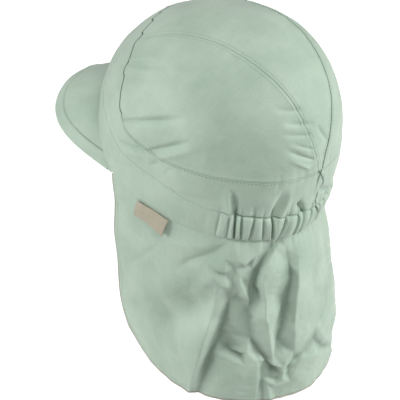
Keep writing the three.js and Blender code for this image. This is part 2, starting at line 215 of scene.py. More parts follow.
cap = {
    "rimHalfLength": 92.2,
    "rimHalfWidth": 71.5,
    "crownHalfLength": 88.2,
    "crownHalfWidth": 71,
    "springHeight": 33.9,
    "domeHeight": 94.5,
    "domeFullness": 0.08,
    "topSetback": 13,
    "browRise": 33,
    "earRise": 3.5,
    "earTurn": 88,
    "earSpread": 14,
    "napeDraw": 4.5,
    "napeDrawRight": 9,
    "drawTurn": 214,
    "drawSpread": 32,
    "tipBack": 10,
}
crownArc = cap["springHeight"] + cap["domeHeight"] * math.pi / 2
springShare = 1 - cap["springHeight"] / crownArc


def discPlace(turn, share):
    angle = np.radians(turn)
    return share * np.sin(angle), -share * np.cos(angle)


def turnAndShare(x, y):
    return np.mod(np.degrees(np.arctan2(x, -y)), 360), np.hypot(x, y)


def rimShare(turn):
    front = np.maximum(np.cos(np.radians(turn)), 0)
    ears = hump(fromBrow(turn) - cap["earTurn"], cap["earSpread"])
    return 1 - (cap["browRise"] * front ** 2 + cap["earRise"] * ears) / crownArc


def capSkin(x, y):
    turn, share = turnAndShare(x, y)
    side, front = np.sin(np.radians(turn)), np.cos(np.radians(turn))
    bend = np.minimum(share / springShare, 1) * math.pi / 2
    reach = np.sin(bend) * (1 + cap["domeFullness"] * np.cos(bend) ** 2)
    down = np.clip((share - springShare) / (1 - springShare), 0, 1.2)
    nape = np.clip((0.3 - front) / 1.3, 0, 1) ** 1.5
    right = hump(turn - cap["drawTurn"], cap["drawSpread"])
    pull = cap["napeDraw"] * nape + cap["napeDrawRight"] * right
    reach = reach * (1 - pull / cap["rimHalfLength"] * down ** 2)
    across = mix(cap["crownHalfWidth"], cap["rimHalfWidth"], down ** 2) * side * reach
    back = -mix(cap["crownHalfLength"], cap["rimHalfLength"], down ** 2) * front * reach
    back = back + cap["topSetback"] * np.cos(bend) ** 2
    dome = cap["springHeight"] + cap["domeHeight"] * np.cos(bend)
    up = np.where(share < springShare, dome, mix(cap["springHeight"], 0, down))
    tilt = math.radians(cap["tipBack"])
    tippedBack = back * math.cos(tilt) + up * math.sin(tilt)
    tippedUp = up * math.cos(tilt) - back * math.sin(tilt)
    return np.stack([across, tippedBack, tippedUp], -1)


def capNormal(x, y, step=0.002):
    sideways = capSkin(x + step, y) - capSkin(x - step, y)
    lengthways = capSkin(x, y + step) - capSkin(x, y - step)
    return unit(np.cross(sideways, lengthways))


def slide(x, y, dx, dy, distance):
    # A place moved over the skin by a distance in millimetres
    step = 0.001
    size = np.hypot(dx, dy)
    stepX, stepY = dx / size * step, dy / size * step
    moved = np.linalg.norm(capSkin(x + stepX, y + stepY) - capSkin(x, y), axis=-1)
    return x + stepX * distance / moved, y + stepY * distance / moved


# Seams of the crown

seams = {
    "frontReach": 73,  # crown top to the front panel's seam
    "bandHeightSide": 46.5,
    "bandHeightNape": 51,
    "roundness": 6,
    "stripHalfWidth": 46,
    "stripTipHalfWidth": 1.5,
    "stripTwist": 15,
    "stripAlong": [0, 0.1, 0.28, 0.48, 0.64, 0.82, 1],
    "stripWidth": [1, 0.94, 0.82, 0.745, 0.6, 0.4, 0],
    "templeTurn": 63,
    "gap": 0.12,
    "cornerTrim": 1,
    "waver": 1.25,  # how far the front seam wanders
    "waverLength": 17,
    "runPerTurn": 1.55,  # millimetres of cloth per degree, about
    "rollDepth": 0.75,
    "rollWidth": 1.1,
    "pucker": 0.34,
    "puckerReach": 6,
    # width of the shade painted along a seam
    "lineWidth": 0.6,
    "topstitch": 2.2,
    # places of the band's seam at the centre back: turn and share
    "backTurns": [172.8, 176, 178.8, 175, 174.2, 176.5, 179.5, 180.5],
    "backShares": [0.722, 0.755, 0.791, 0.825, 0.858, 0.9, 0.95, 0.998],
}


def bandSeamShare(turn):
    front = np.cos(np.radians(turn))
    height = mix(seams["bandHeightSide"], seams["bandHeightNape"], np.maximum(-front, 0))
    back = 1 - height / crownArc
    across = seams["frontReach"] / crownArc / np.maximum(front, 0.01)
    power = seams["roundness"]
    rounded = (across ** -power + back ** -power) ** (-1 / power)
    return np.where(front < 0.01, back, rounded)


def bandSeam(turn):
    return discPlace(turn, bandSeamShare(turn))


stripStart = -seams["frontReach"] / crownArc
stripEnd = float(bandSeam(180.0)[1])


def stripEdge(along, side):
    reach = 0.06
    rows = (seams["stripAlong"], seams["stripWidth"])
    width = np.interp(along - reach, *rows) + 2 * np.interp(along, *rows)
    width = (width + np.interp(along + reach, *rows)) / 4
    turned = np.maximum(along - 0.35, 0) ** 1.5 / 0.65 ** 1.5
    tip = seams["stripTipHalfWidth"]
    half = tip + (seams["stripHalfWidth"] - tip) * width
    x = (seams["stripTwist"] * turned + side * half) / crownArc
    return x, mix(stripStart, stripEnd, along)


def alongStrip(y):
    return (y - stripStart) / (stripEnd - stripStart)


def seamMeeting(side, atTip):
    # Turn at which the band's seam meets an edge of the strip, found by halving
    low, high = (120.0, 180.0) if atTip else (0.0, seams["templeTurn"])
    for _ in range(40):
        middle = (low + high) / 2
        x, y = bandSeam(side * middle)
        outside = side * (x - stripEdge(alongStrip(y), side)[0]) > 0
        if outside == atTip:
            low = middle
        else:
            high = middle
    return side * (low + high) / 2


def waver(x, y):
    # The front seam and the cloth beside it wander a little
    turn, share = turnAndShare(x, y)
    brow = fromBrow(turn)
    apart = (share - bandSeamShare(turn)) * crownArc
    run = turn * seams["runPerTurn"]
    swing = np.sin(run * 2 * math.pi / seams["waverLength"]) + 0.45 * np.sin(run * 0.61 + 1.3)
    amount = seams["waver"] * swing * hump(apart, 8) * (1 - ease((brow - 62) / 10))
    moved = (share + amount / crownArc) / np.maximum(share, 0.001)
    return x * moved, y * moved


class SeamLine:
    # A line on the skin, against which distances to a seam are measured
    def __init__(self, x, y):
        self.points = capSkin(*waver(x, y))
        self.run = runAlong(self.points)
        self.ahead = unit(np.gradient(self.points, axis=0))

    def measure(self, places):
        # Distance from the line and how far along it, in millimetres
        flat = places.reshape(-1, 3)
        nearest = nearestOf(self.points, flat)
        offset = flat - self.points[nearest]
        along = (offset * self.ahead[nearest]).sum(1)
        apart = np.linalg.norm(offset - along[:, None] * self.ahead[nearest], axis=1)
        shape = places.shape[:-1]
        return apart.reshape(shape), (self.run[nearest] + along).reshape(shape)


allTurns = np.linspace(0, 360, 1400)
backStops = len(seams["backTurns"])
backSteps = np.linspace(0, backStops - 1, 140)
backLine = discPlace(
    np.interp(backSteps, range(backStops), seams["backTurns"]),
    np.interp(backSteps, range(backStops), seams["backShares"]),
)
meetingAlong = {}
for seamSide in (1, -1):
    frontY = bandSeam(seamMeeting(seamSide, False))[1]
    tipY = bandSeam(seamMeeting(seamSide, True))[1]
    meetingAlong[seamSide] = (float(alongStrip(frontY)), float(alongStrip(tipY)))
bandLine = SeamLine(*bandSeam(allTurns))
stripLines = {
    side: SeamLine(*stripEdge(np.linspace(*meetingAlong[side], 600), side)) for side in (1, -1)
}
centreBackLine = SeamLine(*backLine)


def rolledSeam(apart, depth, width):
    # Cloth rolls down into a seam and swells a little beside it
    inside = np.clip(1 - apart / width, 0, 1)
    return depth * (0.22 * hump(apart - 1.9 * width, width) - (1 - np.sqrt(1 - inside ** 2)))


def puckers(apart, run, seed, reach):
    ripple = waves(np.stack([run, apart * 0.25], -1), (3.6, 7.5), seed, 4)
    strength = 0.5 + 0.5 * np.sin(run / 23 + seed)
    return ripple * strength * np.exp(-apart / reach) * ease(apart / 1.5)


# Creases of the crown: start and end are turn and share, height is in millimetres
# (below 0 for a valley), front and back are how far it spreads to either side.
crownCreases = table("start end height front back", [
    ((66, 0.702), (98, 0.53), -1.5, 1.6, 3.4),
    ((63, 0.71), (80, 0.60), 0.7, 2.6, 4),
    ((46, 0.53), (63, 0.42), -0.7, 1.5, 2.4),
    ((84, 0.745), (104, 0.61), -1.3, 1.8, 4.5),
    ((90, 0.75), (108, 0.63), 0.8, 4, 3),
    ((43, 0.55), (70, 0.41), -0.45, 1.8, 2.6),
    ((50, 0.58), (75, 0.44), -0.55, 2, 3.4),
    ((67, 0.80), (85, 0.755), -1.1, 1.5, 2.8),
    ((70, 0.83), (84, 0.78), 0.5, 2, 3),
    ((86, 0.805), (92, 0.752), -0.7, 1.2, 2),
    ((95, 0.80), (97, 0.755), -0.4, 1.2, 2),
    ((160, 0.432), (138, 0.42), -0.6, 2, 3),
    ((167, 0.502), (145, 0.475), -0.75, 1.8, 3),
    ((165, 0.545), (144, 0.52), -0.6, 1.6, 2.6),
    ((167, 0.655), (148, 0.585), -0.9, 1.8, 2.4),
    ((165, 0.69), (150, 0.62), 0.6, 2, 2.6),
    ((167, 0.61), (151, 0.56), -0.5, 1.4, 2),
    ((171, 0.52), (180, 0.62), -0.6, 2, 3),
    ((98, 0.21), (128, 0.38), -0.5, 7, 12),
    ((72, 0.40), (104, 0.36), 0.6, 8, 9),
    ((300, 0.70), (272, 0.55), -1.3, 1.8, 3.4),
    ((276, 0.74), (256, 0.62), -1.1, 1.8, 4),
    ((312, 0.57), (286, 0.44), -0.5, 2, 3),
    ((214, 0.49), (196, 0.5), -0.7, 2, 3),
    ((208, 0.6), (194, 0.64), -0.8, 2, 2.6),
])
creaseGain = 1.9  # on the heights of both tables of creases


def crease(places, normals, start, end, height, front, back):
    # One crease on the skin, fading towards its ends
    a, b = capSkin(*discPlace(*start)), capSkin(*discPlace(*end))
    middle = capSkin(*discPlace((start[0] + end[0]) / 2, (start[1] + end[1]) / 2))
    line = b - a
    length = np.linalg.norm(line)
    across = unit(np.cross(line, middle))
    part = ((places - a) @ line) / length ** 2
    bow = ((middle - (a + b) / 2) @ across) * 4 * part * (1 - part)
    apart = (places - a) @ across - bow
    spread = np.where(apart < 0, front, back) * (0.55 + 0.45 * ease(part))
    ends = ease((part + 0.12) / 0.3) * ease((1.05 - part) / 0.5)
    same = ease((normals @ unit(middle) + 0.1) / 0.4)
    near = np.abs(apart) / spread
    profile = mix(np.exp(-near ** 2), np.exp(-1.5 * (np.sqrt(near ** 2 + 0.02) - 0.14)), 0.35)
    return creaseGain * height * ends * same * profile


def crownRelief(places, normals, turn, share):
    # Everything that the cloth does on the crown and the band, in millimetres, and the shade
    # painted along the seams' lines
    relief = 0.42 * waves(places, (34, 62), seed=11) + 0.13 * waves(places, (11, 19), seed=12)
    for row in crownCreases:
        relief += crease(places, normals, **row)
    front = 1 - ease((fromBrow(turn) - 60) / 8)
    apart, run = bandLine.measure(places)
    relief += rolledSeam(apart, seams["rollDepth"] * mix(0.45, 1.1, front), seams["rollWidth"])
    relief += seams["pucker"] * mix(1.25, 0.8, front) * puckers(apart, run, 3, seams["puckerReach"])
    lower = (share > bandSeamShare(turn)) & (front < 0.5)
    relief += np.where(lower, 0, 0.25 * hump(apart - 1.5, 1.2) * (1 - front))
    # painted shade along the band's seam, strongest at the front
    shade = hump(apart, seams["lineWidth"]) * mix(0.1, 1, front)
    # each strip seam: the depth of its roll and how much shade is painted along it
    for side, depth, dark in ((1, 0.5, 0.12), (-1, 0.9, 1)):
        apart, run = stripLines[side].measure(places)
        relief += rolledSeam(apart, seams["rollDepth"] * depth, seams["rollWidth"])
        relief += seams["pucker"] * 0.8 * puckers(apart, run, 5 + side, seams["puckerReach"])
        relief -= 0.07 * hump(apart - seams["topstitch"], 0.5)  # drawn in by the stitches
        shade = np.maximum(shade, dark * hump(apart, seams["lineWidth"]))
    return relief, shade


# Mesh making

clothUnit = 100  # millimetres of cloth in one unit of its flat map


def faceCorners(values, faces):
    # The values at every corner of every face, face by face
    return values[np.concatenate([np.asarray(face) for face in faces])]


def facesInward(vertices, quads):
    a, b, c = (vertices[quads[:, k]] for k in range(3))
    return (np.cross(a, b) * c).sum() < 0


def newPiece(name, vertices, faces, finish, uv, shade=None):
    mesh = bpy.data.meshes.new(name)
    mesh.from_pydata((np.asarray(vertices) * mm).tolist(), [], faces)
    mesh.polygons.foreach_set("use_smooth", [True] * len(mesh.polygons))
    layer = mesh.uv_layers.new(name="cloth")
    layer.data.foreach_set("uv", (uv / clothUnit).ravel())
    if shade is not None:
        mesh.attributes.new("seamShade", "FLOAT", "POINT").data.foreach_set("value", shade)
    mesh.materials.append(finish)
    mesh.update()
    piece = bpy.data.objects.new(name, mesh)
    bpy.context.scene.collection.objects.link(piece)
    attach(piece, "root")
    return piece


def clothWall(name, outer, inner, flat, finish, closed=False, shade=None):
    # Closed wall between two grids of points; flat is where each point lies on the
    # uncut cloth. A closed wall's last column lies on its first one.
    rows, columns = outer.shape[:2]
    own = columns - 1 if closed else columns
    vertices = np.concatenate([outer[:, :own].reshape(-1, 3), inner[:, :own].reshape(-1, 3)])
    i, j = np.meshgrid(np.arange(rows - 1), np.arange(columns - 1), indexing="ij")
    corners = [(i, j), (i, j + 1), (i + 1, j + 1), (i + 1, j)]
    quads, spots = [], []

    def add(layers, places):
        number = [layer * rows * own + row * own + column % own
                  for layer, (row, column) in zip(layers, places)]
        quads.append(np.stack([n.ravel() for n in number], 1))
        spots.append(np.stack([flat[row, column].reshape(-1, 2) for row, column in places], 1))

    add((0, 0, 0, 0), corners)
    add((1, 1, 1, 1), corners[::-1])
    column = np.arange(columns - 1)
    for row, layers in ((0, (1, 1, 0, 0)), (rows - 1, (0, 0, 1, 1))):
        level = np.full(columns - 1, row)
        ends = [(level, column), (level, column + 1), (level, column + 1), (level, column)]
        add(layers, ends)
    if not closed:
        row = np.arange(rows - 1)
        for side, layers in ((0, (0, 0, 1, 1)), (columns - 1, (1, 1, 0, 0))):
            level = np.full(rows - 1, side)
            add(layers, [(row, level), (row + 1, level), (row + 1, level), (row, level)])
    quads = np.concatenate(quads)
    spots = np.concatenate(spots)
    if facesInward(vertices, quads):
        quads, spots = quads[:, ::-1], spots[:, ::-1]
    if shade is not None:
        shade = np.concatenate([shade[:, :own].ravel(), np.zeros(rows * own)])
    return newPiece(name, vertices, quads.tolist(), finish, spots.reshape(-1, 2), shade)


# Finishes


def srgb(red, green, blue):
    def linear(value):
        value = value / 255
        return value / 12.92 if value <= 0.04045 else ((value + 0.055) / 1.055) ** 2.4
    return (linear(red), linear(green), linear(blue), 1)


clothLook = {
    "specular": 0.32,
    "sheenRoughness": 0.45,
    "slub": {"Scale": 1, "Detail": 3},
    "slubStretches": [(6, 190, 1), (190, 6, 1)],
    "mottle": {"Scale": 30, "Detail": 6},
    "crumple": {"Scale": 62, "Detail": 5, "Roughness": 0.55, "Distortion": 0.6},
    "slubColour": 0.35,  # share of the slubs in the colour, and below in the height
    "slubHeight": 0.8,
    "darkAt": 0.62,  # the noise's level at which the cloth is darkest, and lightest
    "lightAt": 1,
    # colour of the shade painted into seams' ditches, creases and hollows
    "paintedShadeColour": srgb(56, 82, 62),
    "roughnessSpread": 0.06,
    "weaveStrength": 0.5,
    "crumpleStrength": 0.6,
    "crumpleDepth": 40,  # times the depth of the weave
}


def feed(tree, node, inputs):
    # Each input gets a value, or the link from another node's output
    for name, value in inputs.items():
        if isinstance(value, bpy.types.NodeSocket):
            tree.links.new(value, node.inputs[name])
        else:
            node.inputs[name].default_value = value


def clothFinish(name, light, dark, threadPitch, weaveDepth, roughness, sheen):
    # Woven cloth: two thread directions, slubs along each, mottling and fine crumples
    finish = bpy.data.materials.new(name)
    finish.use_nodes = True
    tree = finish.node_tree
    shader = tree.nodes["Principled BSDF"]
    look = clothLook

    def add(kind, inputs, **settings):
        node = tree.nodes.new("ShaderNode" + kind)
        for setting, value in settings.items():
            setattr(node, setting, value)
        feed(tree, node, inputs)
        return node

    def maths(kind, *values):
        return add("Math", dict(enumerate(values)), operation=kind).outputs[0]

    def noise(place, settings):
        return add("TexNoise", {"Vector": place, **settings}).outputs["Fac"]

    flat = add("UVMap", {}, uv_map="cloth").outputs["UV"]
    body = add("TexCoord", {}).outputs["Object"]
    split = add("SeparateXYZ", {0: flat})
    perUnit = math.pi / (threadPitch / clothUnit)
    threads = [maths("SINE", maths("MULTIPLY", split.outputs[axis], perUnit)) for axis in "XY"]
    weave = maths("MULTIPLY", *threads)
    slubs = [noise(add("Mapping", {"Scale": stretch, "Vector": flat}).outputs[0], look["slub"])
             for stretch in look["slubStretches"]]
    slub = maths("ADD", *slubs)
    mottle = noise(body, look["mottle"])

    ramp = add("ValToRGB", {"Fac": maths("MULTIPLY_ADD", slub, look["slubColour"], mottle)})
    ends = ramp.color_ramp.elements
    ends[0].position, ends[0].color = look["darkAt"], srgb(*dark)
    ends[1].position, ends[1].color = look["lightAt"], srgb(*light)
    # the seamShade attribute mixes painted shade into the colour where seams, creases and hollows
    # lie in shade
    paintedShadeShare = add("Attribute", {}, attribute_name="seamShade").outputs["Fac"]
    tint = add("Mix", {"Factor": paintedShadeShare, "A": ramp.outputs["Color"], "B": look["paintedShadeColour"]},
               data_type="RGBA")
    spread = look["roughnessSpread"]
    rough = add("MapRange", {"Value": mottle, "To Min": roughness - spread,
                             "To Max": roughness + spread})

    crumple = add("Bump", {"Strength": look["crumpleStrength"],
                           "Distance": weaveDepth * look["crumpleDepth"] * mm,
                           "Height": noise(body, look["crumple"])})
    bump = add("Bump", {"Strength": look["weaveStrength"], "Distance": weaveDepth * mm,
                        "Height": maths("MULTIPLY_ADD", slub, look["slubHeight"], weave),
                        "Normal": crumple.outputs["Normal"]})
    feed(tree, shader, {
        "Base Color": tint.outputs["Result"],
        "Roughness": rough.outputs[0],
        "Normal": bump.outputs["Normal"],
        "Sheen Weight": sheen,
        "Sheen Roughness": look["sheenRoughness"],
        "Specular IOR Level": look["specular"],
    })
    return finish


# Colours of the cloth's lighter and darker mottling, threads' pitch and weave's depth in
# millimetres, roughness and sheen
sageCotton = clothFinish("sageCotton", (182, 201, 184), (164, 185, 167), 0.42, 0.035, 0.6, 0.25)
sageThread = clothFinish("sageThread", (170, 191, 173), (160, 181, 163), 0.3, 0.05, 0.5, 0.2)
# the needle holes' finish is darker: it paints the shade that falls into each hole
needleHoleShade = clothFinish("needleHoleShade", (104, 130, 110), (92, 116, 98), 0.3, 0.02, 0.8, 0)
edgingCotton = clothFinish("edgingCotton", (172, 172, 158), (160, 160, 146), 0.35, 0.06, 0.7, 0.2)
labelTape = clothFinish("labelTape", (186, 180, 161), (172, 166, 147), 0.5, 0.09, 0.7, 0.2)
print("cap: finishes ready")

# Stitches: short rounded thread pieces, with a dark dot of painted shade for the needle hole
# between them

stitch = {
    "pitch": 2.5,
    "length": 1.75,
    "radius": 0.17,
    "lift": 0.04,
    "sides": 6,
    # rings of a stitch: place along its half, thickness and height by the radius
    "rings": [(-1, 0.45, -0.7), (-0.72, 0.9, 0), (0, 1, 0.35), (0.72, 0.9, 0), (1, 0.45, -0.7)],
    "holeDepth": 0.16,
}


def addRing(centres, forward, sideways, upward, thick):
    angles = np.arange(stitch["sides"]) * 2 * math.pi / stitch["sides"]
    ring = np.cos(angles)[None, :, None] * sideways[:, None] * thick
    ring = ring + np.sin(angles)[None, :, None] * upward[:, None] * thick
    return centres[:, None] + forward[:, None] + ring


def sewnRow(line, normals):
    # Stitches along a line of points, and the places between them for the needle holes' dots of
    # painted shade
    run = runAlong(line)
    count = max(int(run[-1] / stitch["pitch"]), 1)
    middles = (np.arange(count) + 0.5) * run[-1] / count

    def at(where, values):
        return np.stack([np.interp(where, run, values[:, k]) for k in range(3)], 1)

    half = stitch["length"] / 2
    start, end = at(middles - half, line), at(middles + half, line)
    centre = (start + end) / 2
    upward = unit(at(middles, normals))
    ahead = unit(end - start)
    sideways = unit(np.cross(upward, ahead))
    radius = stitch["radius"]
    rings = []
    for part, thick, rise in stitch["rings"]:
        middle = centre + upward * (stitch["lift"] + radius * rise)
        rings.append(addRing(middle, ahead * half * part, sideways, upward, radius * thick))
    return np.stack(rings, 1), (at(middles + run[-1] / count / 2, line), upward, sideways, ahead)


def makeStitches(name, rowsOfSewing):
    sides = stitch["sides"]
    vertices, faces = [], []
    offset = 0
    holes = []
    for (line, normals, *_), holeSize in rowsOfSewing:
        rings, hole = sewnRow(line, normals)
        holes.append((*hole, holeSize))
        count, stations = rings.shape[:2]
        size = stations * sides
        base = offset + np.arange(count)[:, None, None] * size
        ring = np.arange(stations - 1)[None, :, None] * sides
        around = np.arange(sides)[None, None, :]
        after = (around + 1) % sides
        low, high = base + ring, base + ring + sides
        quads = np.stack(np.broadcast_arrays(low + around, low + after,
                                             high + after, high + around), -1)
        faces += quads.reshape(-1, 4).tolist()
        first = offset + np.arange(count)[:, None] * size
        faces += (first + np.arange(sides)[::-1]).tolist()
        faces += (first + size - sides + np.arange(sides)).tolist()
        vertices.append(rings.reshape(-1, 3))
        offset += count * size
    vertices = np.concatenate(vertices)
    flat = faceCorners(vertices, faces)[:, :2]
    sewing = newPiece(name, vertices, faces, sageThread, flat)

    shape = [(1, 0, 0), (0, 1, 0), (-1, 0, 0), (0, -1, 0), (0, 0, 0.5), (0, 0, -0.5)]
    skin = [(0, 1, 4), (1, 2, 4), (2, 3, 4), (3, 0, 4), (1, 0, 5), (2, 1, 5), (3, 2, 5), (0, 3, 5)]
    # dark dots of painted shade where the needle went through
    dots, dotFaces = [], []
    for centre, upward, sideways, ahead, holeSize in holes:
        for along, aside, rise in shape:
            spot = centre + holeSize * (ahead * along + sideways * aside)
            dots.append(spot + upward * rise * stitch["holeDepth"])
        start = sum(len(d) for d in dots[:-len(shape)])
        count = len(centre)
        each = start + np.arange(count)
        for face in skin:
            dotFaces += np.stack([each + corner * count for corner in face], 1).tolist()
    dots = np.concatenate(dots)
    flat = faceCorners(dots, dotFaces)[:, :2]
    marks = newPiece(name + "Holes", dots, dotFaces, needleHoleShade, flat)


# Casing with the elastic in it, and the band above it

casing = {
    "height": 17.5,
    "riseFront": 7,
    "plainPuff": 1.1,
    "gatherPuff": 2.8,
    "bandWall": 1.6,
    "fade": 14,  # how far the gathers reach up the band
    "swellLift": 0.9,  # rise of the stitch line between the creases
    "scallop": 0.7,  # and how far the rim hangs lower there
    "drawnFrom": 116,  # degrees from the brow where the elastic starts to draw
    "drawnOver": 14,
    "runPerTurn": 1.35,  # millimetres of cloth per degree, about
    "flatPerTurn": 1.45,
}

# Creases of the casing: top and foot are the turns at the stitch line and at the rim,
# depth is in millimetres, and swell is of the cloth before the next crease
casingCreases = table("top foot depth swell", [
    (117, 116, 0.0, 0.25),
    (122.5, 121.5, 0.5, 0.5),
    (127.0, 126.6, 0.8, 0.45),
    (129.6, 130.2, 2.6, 0.6),
    (132.6, 133.4, 1.4, 0.85),
    (138.8, 137.2, 1.0, 0.9),
    (143.2, 144.4, 1.0, 0.8),
    (148.0, 149.2, 2.6, 0.95),
    (155.6, 151.9, 1.8, 1.0),
    (163.2, 161.4, 2.4, 0.7),
    (167.0, 165.0, 0.8, 0.8),
    (172.8, 168.6, 1.7, 0.7),
    (176.6, 174.0, 0.8, 0.6),
    (180.0, 180.0, 1.5, 0.8),
    (185.6, 183.6, 1.4, 0.9),
    (191.5, 190.0, 1.2, 0.95),
    (198.5, 199.5, 2.2, 1.0),
    (205.5, 204.0, 1.4, 0.9),
    (211.0, 213.0, 2.0, 0.9),
    (217.5, 217.0, 1.0, 0.8),
    (223.0, 224.5, 1.8, 0.6),
    (229.0, 229.5, 0.8, 0.5),
    (235.0, 236.0, 0.4, 0.25),
    (241, 243, 0.0, 0),
])


def casingShare(turn):
    # The casing's stitch line, which rises a little between the gathers
    nape = np.maximum(-np.cos(np.radians(turn)), 0)
    lift = casing["swellLift"] * gathered(turn, np.zeros_like(turn))[0]
    return rimShare(turn) - (casing["height"] + casing["riseFront"] * (1 - nape) + lift) / crownArc


def gathered(turn, down):
    # Swell between the casing's creases and the depth of the creases themselves
    turn = np.mod(turn, 360)
    down = np.clip(down, 0, 1)
    swell = np.zeros(np.broadcast(turn, down).shape)
    cut = np.zeros_like(swell)
    for here, after in zip(casingCreases[:-1], casingCreases[1:]):
        low, high = mix(here["top"], here["foot"], down), mix(after["top"], after["foot"], down)
        part = (turn - low) / (high - low)
        bulge = np.sin(math.pi * np.clip(part, 0, 1) ** 1.15) ** 0.8
        swell += np.where((part >= 0) & (part < 1), here["swell"] * bulge, 0)
    for row in casingCreases:
        apart = (turn - mix(row["top"], row["foot"], down)) * casing["runPerTurn"]
        cut += row["depth"] * (hump(apart, 0.65) - 0.3 * hump(np.abs(apart) - 1.5, 0.7))
    return swell, cut


def bandRelief(turn, share):
    start = casingShare(turn)
    down = (share - start) / (rimShare(turn) - start)
    height = (start - share) * crownArc
    swell, cut = gathered(turn, down)
    drawn = ease((fromBrow(turn) - casing["drawnFrom"]) / casing["drawnOver"])
    arch = np.sin(math.pi * np.clip(down, 0, 1)) ** mix(1.4, 0.45, drawn)
    plain = casing["plainPuff"] * mix(0.3, 1, drawn)
    inCasing = (plain + casing["gatherPuff"] * swell - 0.9 * cut) * arch
    inCasing = inCasing - 0.4 * cut * (1 - arch)
    # above the stitch line the gathers open out into soft puckers
    reach = casing["fade"] * (0.3 + 0.2 * np.maximum(cut, 0))
    fan = ease(height / 2) * np.exp(-(np.maximum(height, 0) / reach) ** 2)
    above = (0.5 * swell - 0.45 * cut) * fan
    seam = hump(height - 0.3, 0.55)
    relief = np.where(down > 0, inCasing, above) - mix(0.06, 0.75, drawn) * seam
    # painted shade in the casing's creases, in the puckers above them and along the stitch line
    dark = np.where(down > 0, 0.28 * cut, 0.1 * cut * fan) + 0.2 * seam * drawn
    return relief, np.clip(dark, 0, 0.7)


bandDents = table("start end height front back", [
    ((129.4, 0.902), (126, 0.77), -1.7, 1.5, 3.4),
    ((127.2, 0.902), (123.6, 0.77), 1.0, 4, 1.8),
    ((147.0, 0.902), (151.5, 0.76), -1.6, 2.6, 6.5),
    ((151.5, 0.902), (156.5, 0.77), 0.9, 3, 5),
    ((138.5, 0.902), (137.5, 0.83), -0.6, 1.8, 3),
    ((157.0, 0.902), (158.0, 0.82), -0.7, 1.8, 3),
    ((167.5, 0.905), (161.0, 0.825), -1.9, 3.6, 1.8),
    ((176, 0.815), (187, 0.86), -1.1, 1.8, 2.6),
    ((188, 0.902), (187, 0.83), -0.9, 1.6, 3),
    ((206, 0.902), (203, 0.8), -1.1, 1.8, 4),
    ((220, 0.902), (225, 0.79), -1.1, 1.8, 4),
    ((66, 0.90), (78, 0.875), -0.45, 1.8, 3.4),
    ((96, 0.86), (122, 0.84), -0.5, 3, 6),
])


def bandSurface(turn, share):
    # Points of the band, the direction away from the head there, and the shade painted on them
    x, y = waver(*discPlace(turn, share))
    base, normal = capSkin(x, y), capNormal(x, y)
    relief, shade = crownRelief(base, normal, turn, share)
    toRim = (rimShare(turn) - share) * crownArc
    gathers, dark = bandRelief(turn, share)
    relief = relief * ease(toRim / 9 + 0.05) + gathers
    shade = np.maximum(shade, dark)
    for row in bandDents:
        relief += crease(base, normal, **row)
    apart, run = centreBackLine.measure(base)
    relief += rolledSeam(apart, 0.7, 0.9) + 0.25 * puckers(apart, run, 8, 4)
    # painted shade along the centre-back seam
    shade = np.maximum(shade, hump(apart, seams["lineWidth"]))
    return base + normal * relief[..., None], normal, shade


def makeBand():
    fine = np.arange(114, 244, 0.3)
    turns = np.concatenate([np.linspace(0, 114, 116)[:-1], fine, np.linspace(244, 360, 118)])
    upper = edgeSteps(35, 0.8)
    lower = edgeSteps(30, 0.6)[1:]
    seam = bandSeamShare(turns) + seams["gap"] / 2 / crownArc
    start, rim = casingShare(turns), rimShare(turns)
    swell = gathered(turns, np.ones_like(turns))[0]
    scallop = casing["scallop"] * swell * lower[:, None] ** 4 / crownArc
    share = np.concatenate([mix(seam, start, upper[:, None]),
                            mix(start, rim, lower[:, None]) + scallop])
    turn = np.broadcast_to(turns, share.shape)
    outer, normal, shade = bandSurface(turn, share)
    inner = outer - normal * casing["bandWall"]
    flat = np.stack([turn * casing["flatPerTurn"], share * crownArc], -1)
    piece = clothWall("bandCloth", outer, inner, flat, sageCotton, closed=True, shade=shade)
    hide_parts("band")


makeBand()
print("cap: band ready")

# Crown panels

panels = {
    "wall": 1.2,
    "sideColumns": 220,
    "sideRows": 100,
    "sideFlat": (215, 95),  # millimetres of cloth along the seam and across the panel
    "topColumns": 110,
    "topRows": 190,
}


def crownSurface(x, y):
    turn, share = turnAndShare(x, y)
    x, y = waver(x, y)
    base, normal = capSkin(x, y), capNormal(x, y)
    relief, shade = crownRelief(base, normal, turn, share)
    return base + normal * relief[..., None], normal, shade


def makePanel(name, node, x, y, flat):
    outer, normal, shade = crownSurface(x, y)
    piece = clothWall(name, outer, outer - normal * panels["wall"], flat, sageCotton, shade=shade)
    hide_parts(node)


def makeSidePanel(side, name, node):
    inset = seams["gap"] / 2
    frontTurn, napeTurn = seamMeeting(side, False), seamMeeting(side, True)
    trim = seams["cornerTrim"] / crownArc
    frontAlong, tipAlong = meetingAlong[side]
    u = edgeSteps(panels["sideColumns"], 0.5)
    tipTurn = napeTurn - side * seams["cornerTrim"] / 1.2
    stripX, stripY = stripEdge(mix(frontAlong + trim, tipAlong - trim, u), side)
    seamX, seamY = bandSeam(mix(frontTurn, tipTurn, u))
    stripX, stripY = slide(stripX, stripY, side * np.ones_like(u), 0 * u, inset)
    seamX, seamY = slide(seamX, seamY, -seamX, -seamY, inset)
    v = edgeSteps(panels["sideRows"], 0.86)[:, None]
    x, y = mix(stripX, seamX, v), mix(stripY, seamY, v)
    along, across = panels["sideFlat"]
    flat = np.stack(np.broadcast_arrays(u * along, v * across), -1)
    makePanel(name, node, x, y, flat)


